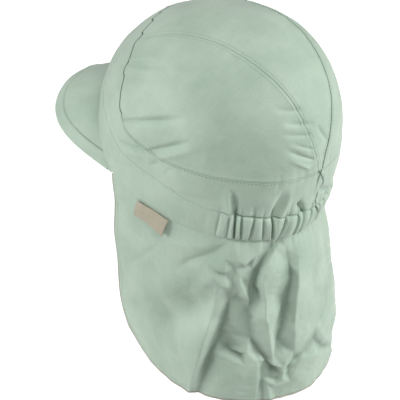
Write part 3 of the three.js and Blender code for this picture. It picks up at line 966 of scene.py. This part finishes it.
def makeTopPanel():
    inset = seams["gap"] / 2
    tipAlong = min(meetingAlong[1][1], meetingAlong[-1][1]) - seams["gap"] / crownArc
    left, right = seamMeeting(1, False), seamMeeting(-1, False)
    v = edgeSteps(panels["topRows"], 0.8)[:, None]
    u = edgeSteps(panels["topColumns"], 0.8)

    def edge(side, part):
        x, y = stripEdge(mix(meetingAlong[side][0], tipAlong, part), side)
        return slide(x, y, -side * np.ones_like(x), 0 * x, inset)

    nearX, nearY = edge(-1, v)
    farX, farY = edge(1, v)
    seamX, seamY = bandSeam(mix(right, left, u))
    startY = slide(seamX, seamY, -seamX, -seamY, inset)[1]
    startX = mix(nearX[0], farX[0], u)
    endX, endY = mix(nearX[-1], farX[-1], u), mix(nearY[-1], farY[-1], u)

    def patch(near, far, start, end):
        ruled = mix(near, far, u) + mix(start, end, v)
        return ruled - mix(mix(near[0], far[0], u), mix(near[-1], far[-1], u), v)

    x = patch(nearX, farX, startX, endX)
    y = patch(nearY, farY, startY, endY)
    makePanel("topPanelCloth", "top_panel", x, y, np.stack([x * crownArc, y * crownArc], -1))


makeTopPanel()
makeSidePanel(1, "sidePanelLeftCloth", "side_panel_left")
makeSidePanel(-1, "sidePanelRightCloth", "side_panel_right")
print("cap: crown panels ready")

# Peak

peak = {
    "length": 43.9,
    "endLength": 1.2,
    "squareness": 4.3,
    "turn": 64,
    "slope": 32.4,
    "slopeChange": -19.7,
    "bow": 2.2,
    "wall": 1.8,
    "hem": 8.5,  # hem stitching inside the edge
    "halfRun": 62,  # millimetres along the rim from its middle to an end, about
    "flat": (75, 45),
}


def peakPoint(part, out, proud=0.0):
    turn = part * peak["turn"]
    x, y = discPlace(turn, rimShare(turn))
    rim = capSkin(x, y) - capNormal(x, y) * 0.3
    length = peak["endLength"] + peak["length"] * (1 - np.abs(part) ** peak["squareness"])
    slope = np.radians(peak["slope"] + peak["slopeChange"] * part ** 2 - cap["tipBack"])
    bow = peak["bow"] * np.sin(math.pi * out) * length / peak["length"] + proud
    forward = length * out * np.cos(slope) + bow * np.sin(slope)
    drop = length * out * np.sin(slope) - bow * np.cos(slope)
    return rim - np.stack([0 * forward, forward, drop], -1)


def peakRelief(part, out, places):
    edge = peakPoint(np.linspace(-1, 1, 700), np.ones(700))
    flat = places.reshape(-1, 3)
    apart = np.linalg.norm(flat - edge[nearestOf(edge, flat)], axis=1).reshape(part.shape)
    hemmed = ease((peak["hem"] - apart) / 1.5)
    ripple = waves(np.stack([part * peak["halfRun"], apart * 0.4], -1), (6, 12), 21, 4)
    relief = 0.28 * ripple * hemmed * ease(apart / 2)
    relief += 0.3 * waves(places, (18, 34), seed=22) * ease(apart / 6)
    relief -= 0.6 * hump(apart - peak["hem"], 0.7)
    relief += 0.45 * hump(apart - peak["hem"] + 2, 1.8)
    # painted shade along the groove of the hem
    shade = 0.22 * hump(apart - peak["hem"], 0.5)
    roll = np.clip(1 - apart / 1.1, 0, 1)
    rolled = 0.75 * (1 - np.sqrt(1 - roll ** 2))
    return relief, rolled, shade


def makePeak():
    half = np.linspace(0, 1, 101)
    half = 1 - (1 - half) ** 1.35
    parts = np.concatenate([-half[:0:-1], half])
    outs = edgeSteps(90, 0.75)[:, None]
    part, out = np.broadcast_arrays(parts, outs)
    base = peakPoint(part, out)
    relief, rolled, shade = peakRelief(part, out, base)
    outer = peakPoint(part, out, relief - rolled)
    inner = peakPoint(part, out, relief * 0.7 + rolled - peak["wall"])
    flat = np.stack([part, out], -1) * peak["flat"]
    piece = clothWall("peakCloth", outer, inner, flat, sageCotton, shade=shade)
    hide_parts("peak")


makePeak()
print("cap: peak ready")

# Neck flap

flap = {
    "turn": 65.5,
    "length": 129,
    "cornerRun": 45,
    "cornerRise": 33,
    "seamGap": 0.6,
    "flare": 13,
    "edgeDrift": 9,
    "runPerTurn": 1.5,  # millimetres of cloth per degree, about
    "wall": 1.2,
    "hem": 3.2,
    "billow": 4,
    "billowTurn": 112,
    "billowSpread": 26,
    "billowDrop": 22,
    "napeRise": 6,
    "tuck": 1.6,
    "edgingWidth": 1.6,
    "seamGapEdge": 0.3,
    "edgingSides": 10,
    "edgePoints": 700,
    "edgeRunPerTurn": 1.35,  # the same near the front edges
    "columns": 372,
    "rows": 120,
    "crowding": 1.7,  # of the columns over the creased nape
    # the shade painted into the flap's hollows
    "hollowShade": 0.12,  # how dark a hollow is for each millimetre of its depth
    "bulge": {"height": 3.4, "turn": 198, "turnSpread": 16, "drop": 84, "dropSpread": 34},
}

# Folds of the flap: a path of turns and drops in millimetres, the height along it
# (below 0 for a valley), how far it spreads before and behind it, and how crisp it is
flapFolds = table("path height front back crisp", [
    ([(126, 3), (112, 10), (98, 19)], [0.6, 1.8, 0.4], 5, 5, 0.2),
    ([(129, 0), (122, 10), (111, 22), (102, 38)], [-0.6, -1.9, -2.3, 0], 3, 4, 0.4),
    ([(129, 8), (126, 18), (117, 39), (104, 60)], [1, 2.6, 3, 0], 6, 8, 0.2),
    ([(127, 34), (123, 41), (113, 59), (98, 86), (90, 98)], [-1, -4.5, -8, -5, 0], 12, 10, 0),
    ([(121, 46), (119, 60), (112, 72)], [-0.5, -2.5, 0], 6, 4, 0.2),
    ([(70.5, 68), (80, 52), (90, 35), (98, 18)], [0, -0.9, -1.3, 0], 1.6, 2.2, 0.7),
    ([(67, 22), (79, 8)], [-0.7, 0], 2.4, 3, 0.3),
    ([(197, 4), (200, 22), (203, 60), (206, 136)], [0.5, 1, 1.5, 1], 8, 9, 0.4),
    ([(208, 2), (210, 30), (213, 70), (216, 115)], [-2.5, -5.5, -4.5, 0], 5, 7, 0.4),
    ([(217, 5), (222, 45), (229, 90), (233, 136)], [1, 4.5, 5.5, 5], 5, 10, 0.6),
    ([(226, 4), (236, 30), (250, 70), (256, 100)], [-1, -3.4, -3.4, 0], 8, 10, 0.2),
    ([(224, 60), (219, 84), (223, 104)], [0, -2.5, 0], 3, 4, 0.6),
    ([(206, 88), (213, 104), (226, 110)], [0, 2.6, 0], 3, 4, 0.7),
])


# Creases at the nape as the photo shows them. Each line runs through points, given as
# pixels across and down in the photo's frame of 400 x 400, and the cloth's height there
# in millimetres: above 0 for a crest, below 0 for a foot. Between lines it lies flat.
flapCreases = {
    "panelCrest": [(226, 271, 1), (220, 286, 3), (215, 300, 5), (211, 316, 6.5), (206, 335, 7),
                   (200, 352, 6.5), (191, 385, 5), (187, 396, 5)],
    "plainA": [(213, 247, 0), (224, 256, 0.5)],
    "plainB": [(178, 250, 0), (160, 300, 0)],
    "plainC": [(205, 264, 0.5), (188, 290, 0.5)],
    "panelFoot": [(232, 283, -0.5), (229, 300, -2), (223, 318, -3), (216, 338, -3),
                  (208, 358, -1), (200, 384, 1), (197, 396, 1)],
    "shelfCrest": [(233, 243, 1.4), (236, 252, 2), (240, 262, 2.7), (244, 264, 2.7)],
    "shelfFoot": [(224, 273, -0.7), (234, 269, -0.7), (245, 267.5, -0.7), (251, 262, -1.4)],
    "nick": [(240, 276, 1.4), (244, 283, -1.4), (248, 288, -2)],
    "sliverFoot": [(237, 289, -0.7), (238, 297, -2.7), (243, 304.5, -2.7), (247.5, 309, -3.4)],
    "sliverCrest": [(241, 285, 1.4), (245, 294, 1.4), (248.5, 301, -1.4)],
    "mainFoot": [(279, 241, -1), (270, 250, -2), (262, 260, -2.5), (257, 271, -3.5), (252, 285, -4),
                 (249.5, 298, -3.5), (249, 310, -3), (249.5, 322, -2.5), (250, 337, -2.5)],
    "shoulder": [(262, 243, 0.7), (256, 255, 0.7), (251, 270, 0), (248.5, 280, -0.7)],
    "leafCrest": [(282, 244, 0), (275, 250, 1), (268.5, 260, 2.5), (264.5, 270, 3.5), (263, 280, 4),
                  (264, 292, 4), (266, 305, 3.5), (268.5, 325, 3.5), (271, 345, 2.5),
                    (272.5, 358, 0.5)],
    "leafFoot": [(285, 246, 0.5), (288.5, 262, -0.5), (289.5, 275, -2), (284, 300, -3.5),
                 (280, 318, -3.5), (276, 338, -2.5), (273.5, 354, -0.5)],
    "longCrest": [(299, 241, 1.5), (299.5, 258, 2.5), (299, 275, 3.5), (296.5, 300, 4),
                    (295, 325, 3.5),
                  (294, 349, 2)],
    "farCrest": [(308, 243, 1), (309, 275, 1.5), (313, 310, 2)],
    "farFoot": [(316, 242, -0.5), (316.5, 262, -0.5), (314, 288, 0.5)],
    "hollowCrest": [(251, 317, -2.7), (258, 318.5, 1.4), (266, 319, 4.7)],
    "hollowFold": [(256, 289, -2.7), (260, 303, -0.7)],
    "dartFoot": [(251, 340, -3.4), (256, 349, -3.4), (263, 357, -3.4), (271, 362, -2.7)],
    "dartCrest": [(248.5, 344, -0.7), (247, 353, 1.4), (246, 366, 2)],
    "patchFoot": [(218, 341, -2), (226, 347, -2.7), (240, 353, -2.7)],
    "patchMark": [(223, 328, -2), (228, 333, -2), (232, 324, -1.4)],
    "apron": [(215, 353, 0.7), (227, 358, 1.4), (239, 363, 2)],
    "triangle": [(212, 350, -0.7), (216, 368, 1.4), (222, 388, 2.7)],
    "pleatCrest": [(258, 362, 1), (257, 378, 1.5), (256, 400, 1.5)],
    "pleatFoot": [(261, 363, -1), (261, 378, -0.5), (262, 400, 0.5)],
    "starRight": [(284, 368, 2), (300, 361, 3.4), (315, 355, 3.4), (330, 348, 1.4)],
    "starGroove": [(287, 364, -0.7), (294, 358.5, -0.7), (303, 352, 0.7)],
    "starLeft": [(282, 369, 2), (272, 366, 2.7), (264, 360.5, 0.7)],
    "starDown": [(283, 371, 1.4), (281.5, 380, 2.7), (274, 385, 2.7), (266, 381, 2)],
    "starHook": [(268, 377, -0.7), (275.5, 378, -0.7), (279.5, 373.5, 0)],
    "starFoot": [(286.5, 373, -0.7), (290, 381, 0)],
    "tail": [(267, 384, 2), (270.5, 400, 2)],
    "tailFoot": [(272.5, 388, 0), (278, 400, 0.7)],
    "facetTop": [(279.5, 346, -1.4), (287, 347.5, -0.7), (292, 350.5, 1.4)],
    "facetFoot": [(280, 362, 1.4), (287, 358.5, 2.7)],
    "dentLeft": [(315, 326, 1.4), (312, 338, -0.7), (320, 345.5, -0.7), (327, 343.5, 0)],
    "dentCrest": [(319, 329, 2.7), (323, 338, 2.7), (327, 340, 1.4)],
    "scar": [(319, 280, 0.7), (324, 291, -0.7), (328, 301, 0.7)],
}
# The grid on which the creases' heights are drawn, in millimetres of cloth; near and
# far are the widths of the hollows that get painted shade
creaseMap = {"step": 0.5, "from": 99.0, "to": 308.0, "low": -3.0, "high": 141.0,
             "soften": 0.3, "near": 5, "far": 12}


def rimMetric(turn):
    # Millimetres of rim per degree
    here = capSkin(*discPlace(turn, rimShare(turn)))
    after = capSkin(*discPlace(turn + 1, rimShare(turn + 1)))
    return np.linalg.norm(here - after, axis=-1)


def flapDrop(turn):
    arc = (fromBrow(turn) - flap["turn"]) * rimMetric(flap["turn"])
    part = np.clip(arc / flap["cornerRun"], 0, 1)
    rise = flap["napeRise"] * ease((turn - 160) / 35) * ease((262 - turn) / 45)
    return flap["length"] - rise - flap["cornerRise"] * (1 - np.sqrt(1 - (1 - part) ** 2))


def flapBase(turn, drop):
    # The flap without its folds, and the direction away from the head
    rim = capSkin(*discPlace(turn, rimShare(turn)))
    ahead = capSkin(*discPlace(turn + 1, rimShare(turn + 1)))
    along = ahead - capSkin(*discPlace(turn - 1, rimShare(turn - 1)))
    along[..., 2] = 0
    along = unit(along)
    outward = np.stack([along[..., 1], -along[..., 0], 0 * along[..., 0]], -1)
    outward = outward * np.where((outward * rim).sum(-1) < 0, -1, 1)[..., None]
    down = drop / flap["length"]
    behind = (1 - np.cos(np.radians(turn))) / 2
    out = flap["flare"] * behind ** 2 * np.sin(np.minimum(down, 1.1) * math.pi * 0.6)
    beside = hump(fromBrow(turn) - flap["billowTurn"], flap["billowSpread"])
    out += flap["billow"] * beside * (1 - np.exp(-drop / flap["billowDrop"]))
    side = np.where(turn < 180, 1, -1)
    edge = hump(fromBrow(turn) - flap["turn"], 30)
    place = rim + along * (side * flap["edgeDrift"] * edge * down)[..., None]
    place = place + outward * out[..., None]
    place[..., 2] -= flap["seamGap"] + drop
    return place, outward


def castOnFlap(across, fall, height):
    # Turn and drop of the flap's point that shows at a pixel when it stands out by height
    spin = math.radians(view["turn"])
    toward = np.array(towardCamera())
    right = np.array([-math.cos(spin), math.sin(spin), 0.0])
    up = np.cross(toward, right)
    offset = flapGrid[0] + flapGrid[1] * height - toward * view["distance"] / mm
    depth = -(offset @ toward)
    zoom = view["lens"] / view["sensor"]
    x = view["pixels"] * (0.5 + offset @ right / depth * zoom - view["shiftX"])
    y = view["pixels"] * (0.5 - offset @ up / depth * zoom + view["shiftY"])
    facing = flapGrid[1] @ toward > 0.03
    apart = np.hypot(x - across, y - fall) + np.where(facing, 0, 1000)
    row, column = np.unravel_index(apart.argmin(), apart.shape)
    return gridTurns[row, column], gridDrops[row, column]


def blurred(heights, sigma):
    reach = int(3 * sigma) + 1
    kernel = np.exp(-0.5 * (np.arange(-reach, reach + 1) / sigma) ** 2)
    kernel /= kernel.sum()
    padded = np.pad(heights, reach, mode="edge")
    rows = sum(weight * padded[k:k + heights.shape[0]] for k, weight in enumerate(kernel))
    return sum(weight * rows[:, k:k + heights.shape[1]] for k, weight in enumerate(kernel))


def drawCreases():
    # Heights of the creased cloth on a fine grid: rows of drop, columns of run
    area = creaseMap
    points, heights, links = [], [], []
    for line in flapCreases.values():
        first = len(points)
        for across, fall, height in line:
            turn, drop = castOnFlap(across, fall, height)
            points.append((turn * flap["runPerTurn"], drop))
            heights.append(height)
        links += [(k, k + 1) for k in range(first, len(points) - 1)]
    for run in np.linspace(area["from"], area["to"], 27):
        points += [(run, -2.0), (run, area["high"] + 4)]
        heights += [0, 1.2 * hump(run - 225, 35)]
    for drop in np.arange(8, area["high"], 12):
        points += [(area["from"], drop), (area["to"], drop)]
        heights += [0, 0]
    found = delaunay_2d_cdt([Vector(p) for p in points], links, [], 0, 0.01, True)
    corners = np.array([tuple(v) for v in found[0]])
    level = np.zeros(len(corners))
    for k, sources in enumerate(found[3]):
        gaps = np.hypot(*(np.array(points) - corners[k]).T)
        level[k] = heights[sources[0]] if sources else heights[int(gaps.argmin())]
    run = np.arange(area["from"], area["to"], area["step"])
    fall = np.arange(area["low"], area["high"], area["step"])
    grid = np.zeros((len(fall), len(run)))
    for face in found[2]:
        a, b, c = corners[face[0]], corners[face[1]], corners[face[2]]
        columns = np.flatnonzero((run >= min(a[0], b[0], c[0])) & (run <= max(a[0], b[0], c[0])))
        rows = np.flatnonzero((fall >= min(a[1], b[1], c[1])) & (fall <= max(a[1], b[1], c[1])))
        twice = (b[0] - a[0]) * (c[1] - a[1]) - (b[1] - a[1]) * (c[0] - a[0])
        if not len(columns) or not len(rows) or abs(twice) < 1e-6:
            continue
        x, y = run[columns][None, :] - a[0], fall[rows][:, None] - a[1]
        second = (x * (c[1] - a[1]) - y * (c[0] - a[0])) / twice
        third = (y * (b[0] - a[0]) - x * (b[1] - a[1])) / twice
        inside = (second >= -1e-6) & (third >= -1e-6) & (second + third <= 1 + 1e-6)
        first, middle, last = level[face[0]], level[face[1]], level[face[2]]
        value = first * (1 - second - third) + middle * second + last * third
        block = np.ix_(rows, columns)
        grid[block] = np.where(inside, value, grid[block])
    fine = blurred(grid, area["soften"] / area["step"])
    # how far each point lies below its blurred surroundings, for the painted shade in hollows
    near = np.clip(blurred(grid, area["near"] / area["step"]) - fine, 0, None)
    far = np.clip(blurred(grid, area["far"] / area["step"]) - fine, 0, None)
    return fine, near + far


def readMap(heights, turn, drop):
    area = creaseMap
    column = (turn * flap["runPerTurn"] - area["from"]) / area["step"]
    row = (drop - area["low"]) / area["step"]
    outside = (column < 0) | (column > heights.shape[1] - 1)
    column = np.clip(column, 0, heights.shape[1] - 1.001)
    row = np.clip(row, 0, heights.shape[0] - 1.001)
    i, j = row.astype(int), column.astype(int)
    y, x = row - i, column - j
    upper = mix(heights[i, j], heights[i, j + 1], x)
    lower = mix(heights[i + 1, j], heights[i + 1, j + 1], x)
    return np.where(outside, 0, mix(upper, lower, y))


def foldHeight(turn, drop, path, height, front, back, crisp):
    # Height of one fold, from the nearest of its path's straight runs
    u = turn * flap["runPerTurn"]
    shape = np.broadcast(turn, drop).shape
    nearest, level, behind = np.full(shape, 1e9), np.zeros(shape), np.zeros(shape, bool)
    stops = list(zip(path, height))
    for (start, low), (end, high) in zip(stops[:-1], stops[1:]):
        startU = start[0] * flap["runPerTurn"]
        lineU, lineV = end[0] * flap["runPerTurn"] - startU, end[1] - start[1]
        part = ((u - startU) * lineU + (drop - start[1]) * lineV) / (lineU ** 2 + lineV ** 2)
        part = np.clip(part, 0, 1)
        awayU, awayV = u - startU - lineU * part, drop - start[1] - lineV * part
        apart = np.hypot(awayU, awayV)
        closer = apart < nearest
        nearest = np.where(closer, apart, nearest)
        level = np.where(closer, mix(low, high, part), level)
        behind = np.where(closer, awayU * lineV - awayV * lineU > 0, behind)
    apart = nearest / np.where(behind, back, front)
    soft = np.exp(-apart ** 2)
    sharp = np.exp(-1.5 * (np.sqrt(apart ** 2 + 0.02) - 0.14))
    return level * mix(soft, sharp, crisp)


def flapRelief(turn, drop):
    down = drop / flap["length"]
    relief = sum(foldHeight(turn, drop, **fold) for fold in flapFolds)
    bulge = flap["bulge"]
    relief += (bulge["height"] * hump(turn - bulge["turn"], bulge["turnSpread"])
               * hump(drop - bulge["drop"], bulge["dropSpread"]))
    relief = relief * ease(drop / 7) + readMap(creased, turn, drop) * ease(drop / 2.5)
    swell, cut = gathered(turn, np.ones_like(turn))
    cut = np.maximum(cut, 0)
    gathers = 0.5 * swell * np.exp(-drop / 7) - 0.3 * cut * np.exp(-drop / (1 + 1.2 * cut))
    relief += gathers * ease(drop / 2)
    run = turn * flap["runPerTurn"]
    cloth = np.stack([run, drop], -1)
    relief += 0.45 * waves(cloth, (26, 48), seed=31) * ease(down / 0.15)
    folded = ease((fromBrow(turn) - 108) / 16) * ease(down / 0.25)
    relief += 0.25 * np.abs(waves(cloth, (14, 26), seed=32)) * folded
    relief += 0.16 * np.abs(waves(cloth, (7, 13), seed=34)) * (0.35 + folded)
    toFront = (fromBrow(turn) - flap["turn"]) * flap["edgeRunPerTurn"]
    toHem = np.minimum(flapDrop(turn) - drop, toFront)
    relief -= 0.16 * hump(toHem - flap["hem"], 0.6)
    relief += 0.12 * waves(np.stack([run, 0 * drop], -1), (7, 14), seed=33) * hump(toHem, 7)
    return relief


def flapSurface(turn, drop, proud=0.0):
    place, outward = flapBase(turn, drop)
    return place + outward * (flapRelief(turn, drop) + proud)[..., None], outward


def flapTurns():
    # Columns of the flap, closer together over the creased nape
    turns = np.linspace(flap["turn"], 360 - flap["turn"], 2000)
    density = 1 + flap["crowding"] * ease((turns - 98) / 8) * ease((212 - turns) / 12)
    density += 2 * hump(turns - turns[0], 1.5) + 2 * hump(turns - turns[-1], 1.5)
    total = np.concatenate([[0], np.cumsum((density[1:] + density[:-1]) / 2)])
    return np.interp(np.linspace(0, total[-1], flap["columns"]), total, turns)


gridTurns, gridDrops = np.meshgrid(np.arange(80, 206, 0.25), np.arange(0, 144, 0.5))
flapGrid = flapBase(gridTurns, gridDrops)
creased, hollows = drawCreases()


def makeFlap():
    turns = flapTurns()
    rows = edgeSteps(flap["rows"], 0.3)[:, None]
    tuck = flap["tuck"] * (1 - rows)  # the top edge goes up behind the casing
    drop = flapDrop(turns) * rows
    turn = np.broadcast_to(turns, drop.shape)
    outer, outward = flapSurface(turn, drop - tuck)
    inner = flapSurface(turn, drop - tuck, -flap["wall"])[0]
    flat = np.stack([turn * flap["runPerTurn"], drop], -1)
    # hollows get painted shade, darker the deeper they lie below their surroundings
    shade = np.clip(flap["hollowShade"] * readMap(hollows, turn, drop), 0, 0.5)
    piece = clothWall("neckFlapCloth", outer, inner, flat, sageCotton, shade=shade)
    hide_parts("neck_flap")
    return piece


def flapEdge():
    # Turn and drop along the flap's front edges and hem, from left to right
    spread = edgeSteps(flap["edgePoints"], 0.35)
    hemTurns = flap["turn"] + spread * (360 - 2 * flap["turn"])
    rise = np.linspace(0.012, 1, 60)
    left = (np.full(60, hemTurns[0]), flapDrop(hemTurns[0]) * rise)
    right = (np.full(60, hemTurns[-1]), flapDrop(hemTurns[-1]) * rise[::-1])
    turn = np.concatenate([left[0], hemTurns[1:-1], right[0]])
    drop = np.concatenate([left[1], flapDrop(hemTurns[1:-1]), right[1]])
    return turn, drop


def besideFlapEdge(turn, drop, out):
    # The same line moved out by some millimetres, or in where out is below 0
    metric = rimMetric(turn)
    run = np.gradient(turn) * metric
    fall = np.gradient(drop)
    size = np.hypot(run, fall)
    return turn - fall / size * out / metric, drop + run / size * out


def makeEdging():
    turn, drop = flapEdge()
    turn, drop = besideFlapEdge(turn, drop, flap["seamGapEdge"] + flap["edgingWidth"] / 2)
    centre, outward = flapSurface(turn, drop, -flap["wall"] / 2)
    ahead = unit(np.gradient(centre, axis=0))
    aside = unit(np.cross(ahead, outward))
    outward = np.cross(aside, ahead)
    angles = np.linspace(0, 2 * math.pi, flap["edgingSides"] + 1)
    wide, high = flap["edgingWidth"] / 2 + 0.15, flap["wall"] / 2 + 0.1
    run = runAlong(centre)
    ripple = 1 + 0.05 * np.sin(run * 2.6)
    ring = centre[:, None] + aside[:, None] * (np.cos(angles) * wide)[None, :, None]
    ring = ring + outward[:, None] * (np.sin(angles) * high)[None, :, None] * ripple[:, None, None]
    rows, columns = ring.shape[:2]
    own = columns - 1
    i, j = np.meshgrid(np.arange(rows - 1), np.arange(own), indexing="ij")
    after = (j + 1) % own
    low, high = i * own, (i + 1) * own
    quads = np.stack([low + j, low + after, high + after, high + j], -1).reshape(-1, 4)
    vertices = ring[:, :own].reshape(-1, 3)
    ends = [list(range(own))[::-1], list(range((rows - 1) * own, rows * own))]
    faces = quads.tolist() + ends
    if facesInward(vertices, quads):
        faces = [face[::-1] for face in faces]
    number = np.arange(rows * own)
    flat = np.stack([run[number // own], number % own * 0.6], -1)
    piece = newPiece("flapEdgingCloth", vertices, faces, edgingCotton, faceCorners(flat, faces))
    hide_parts("flap_edging")
    return piece


flapPiece = makeFlap()
edgingPiece = makeEdging()
print("cap: flap ready")

# Label, left bare

label = {
    "turn": 91.9,
    "width": 26,
    "height": 12.5,
    "skew": 3.5,
    "wall": 1,
    "standOff": 0.8,
    "lift": 1.8,
}


def makeLabel():
    across, down = np.meshgrid(edgeSteps(90, 0.5), edgeSteps(40, 0.6))
    metric = float(rimMetric(label["turn"]))
    turn = label["turn"] + ((across - 0.5) * label["width"] - label["skew"] * down) / metric
    standOff = label["standOff"] + label["wall"] + label["lift"] * down * ease((across - 0.4) / 0.6)
    edge = np.minimum(np.minimum(across, 1 - across) * label["width"], (1 - down) * label["height"])
    rolled = 0.35 * np.clip(1 - edge / 0.7, 0, 1) ** 2
    bow = 0.5 * np.sin(math.pi * down) + 0.25 * np.sin(across * 7 + 1)
    drop = label["height"] * down
    outer = flapSurface(turn, drop, standOff + bow - rolled)[0]
    inner = flapSurface(turn, drop, standOff + bow + rolled - label["wall"])[0]
    flat = np.stack([across * label["width"], drop], -1)
    piece = clothWall("labelTag", outer, inner, flat, labelTape)
    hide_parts("label")
    return piece


labelPiece = makeLabel()

# Sewing

# sizes of the dots of painted shade at the needle's holes
holeSizes = {"strip": 0.16, "band": 0.45, "casing": 0.14, "flap": 0.1}


def sewCap():
    crown = []
    for side in (1, -1):
        along = np.linspace(*meetingAlong[side], 400)[6:-14]
        x, y = stripEdge(along, side)
        for offset in (seams["topstitch"], -seams["topstitch"]):
            row = crownSurface(*slide(x, y, np.ones_like(x), 0 * x, offset))
            crown.append((row, holeSizes["strip"]))
    turns = np.linspace(66, 294, 700)
    row = bandSurface(turns, bandSeamShare(turns) + 1.3 / crownArc)
    crown.append((row, holeSizes["band"]))
    makeStitches("crownSewing", crown)
    row = bandSurface(allTurns, casingShare(allTurns) - 0.2 / crownArc)
    makeStitches("casingSewing", [(row, holeSizes["casing"])])
    turn, drop = flapEdge()
    turn, drop = besideFlapEdge(turn, drop, -flap["hem"])
    keep = drop > 3
    makeStitches("flapSewing", [(flapSurface(turn[keep], drop[keep]), holeSizes["flap"])])


sewCap()
print("cap: sewing ready")
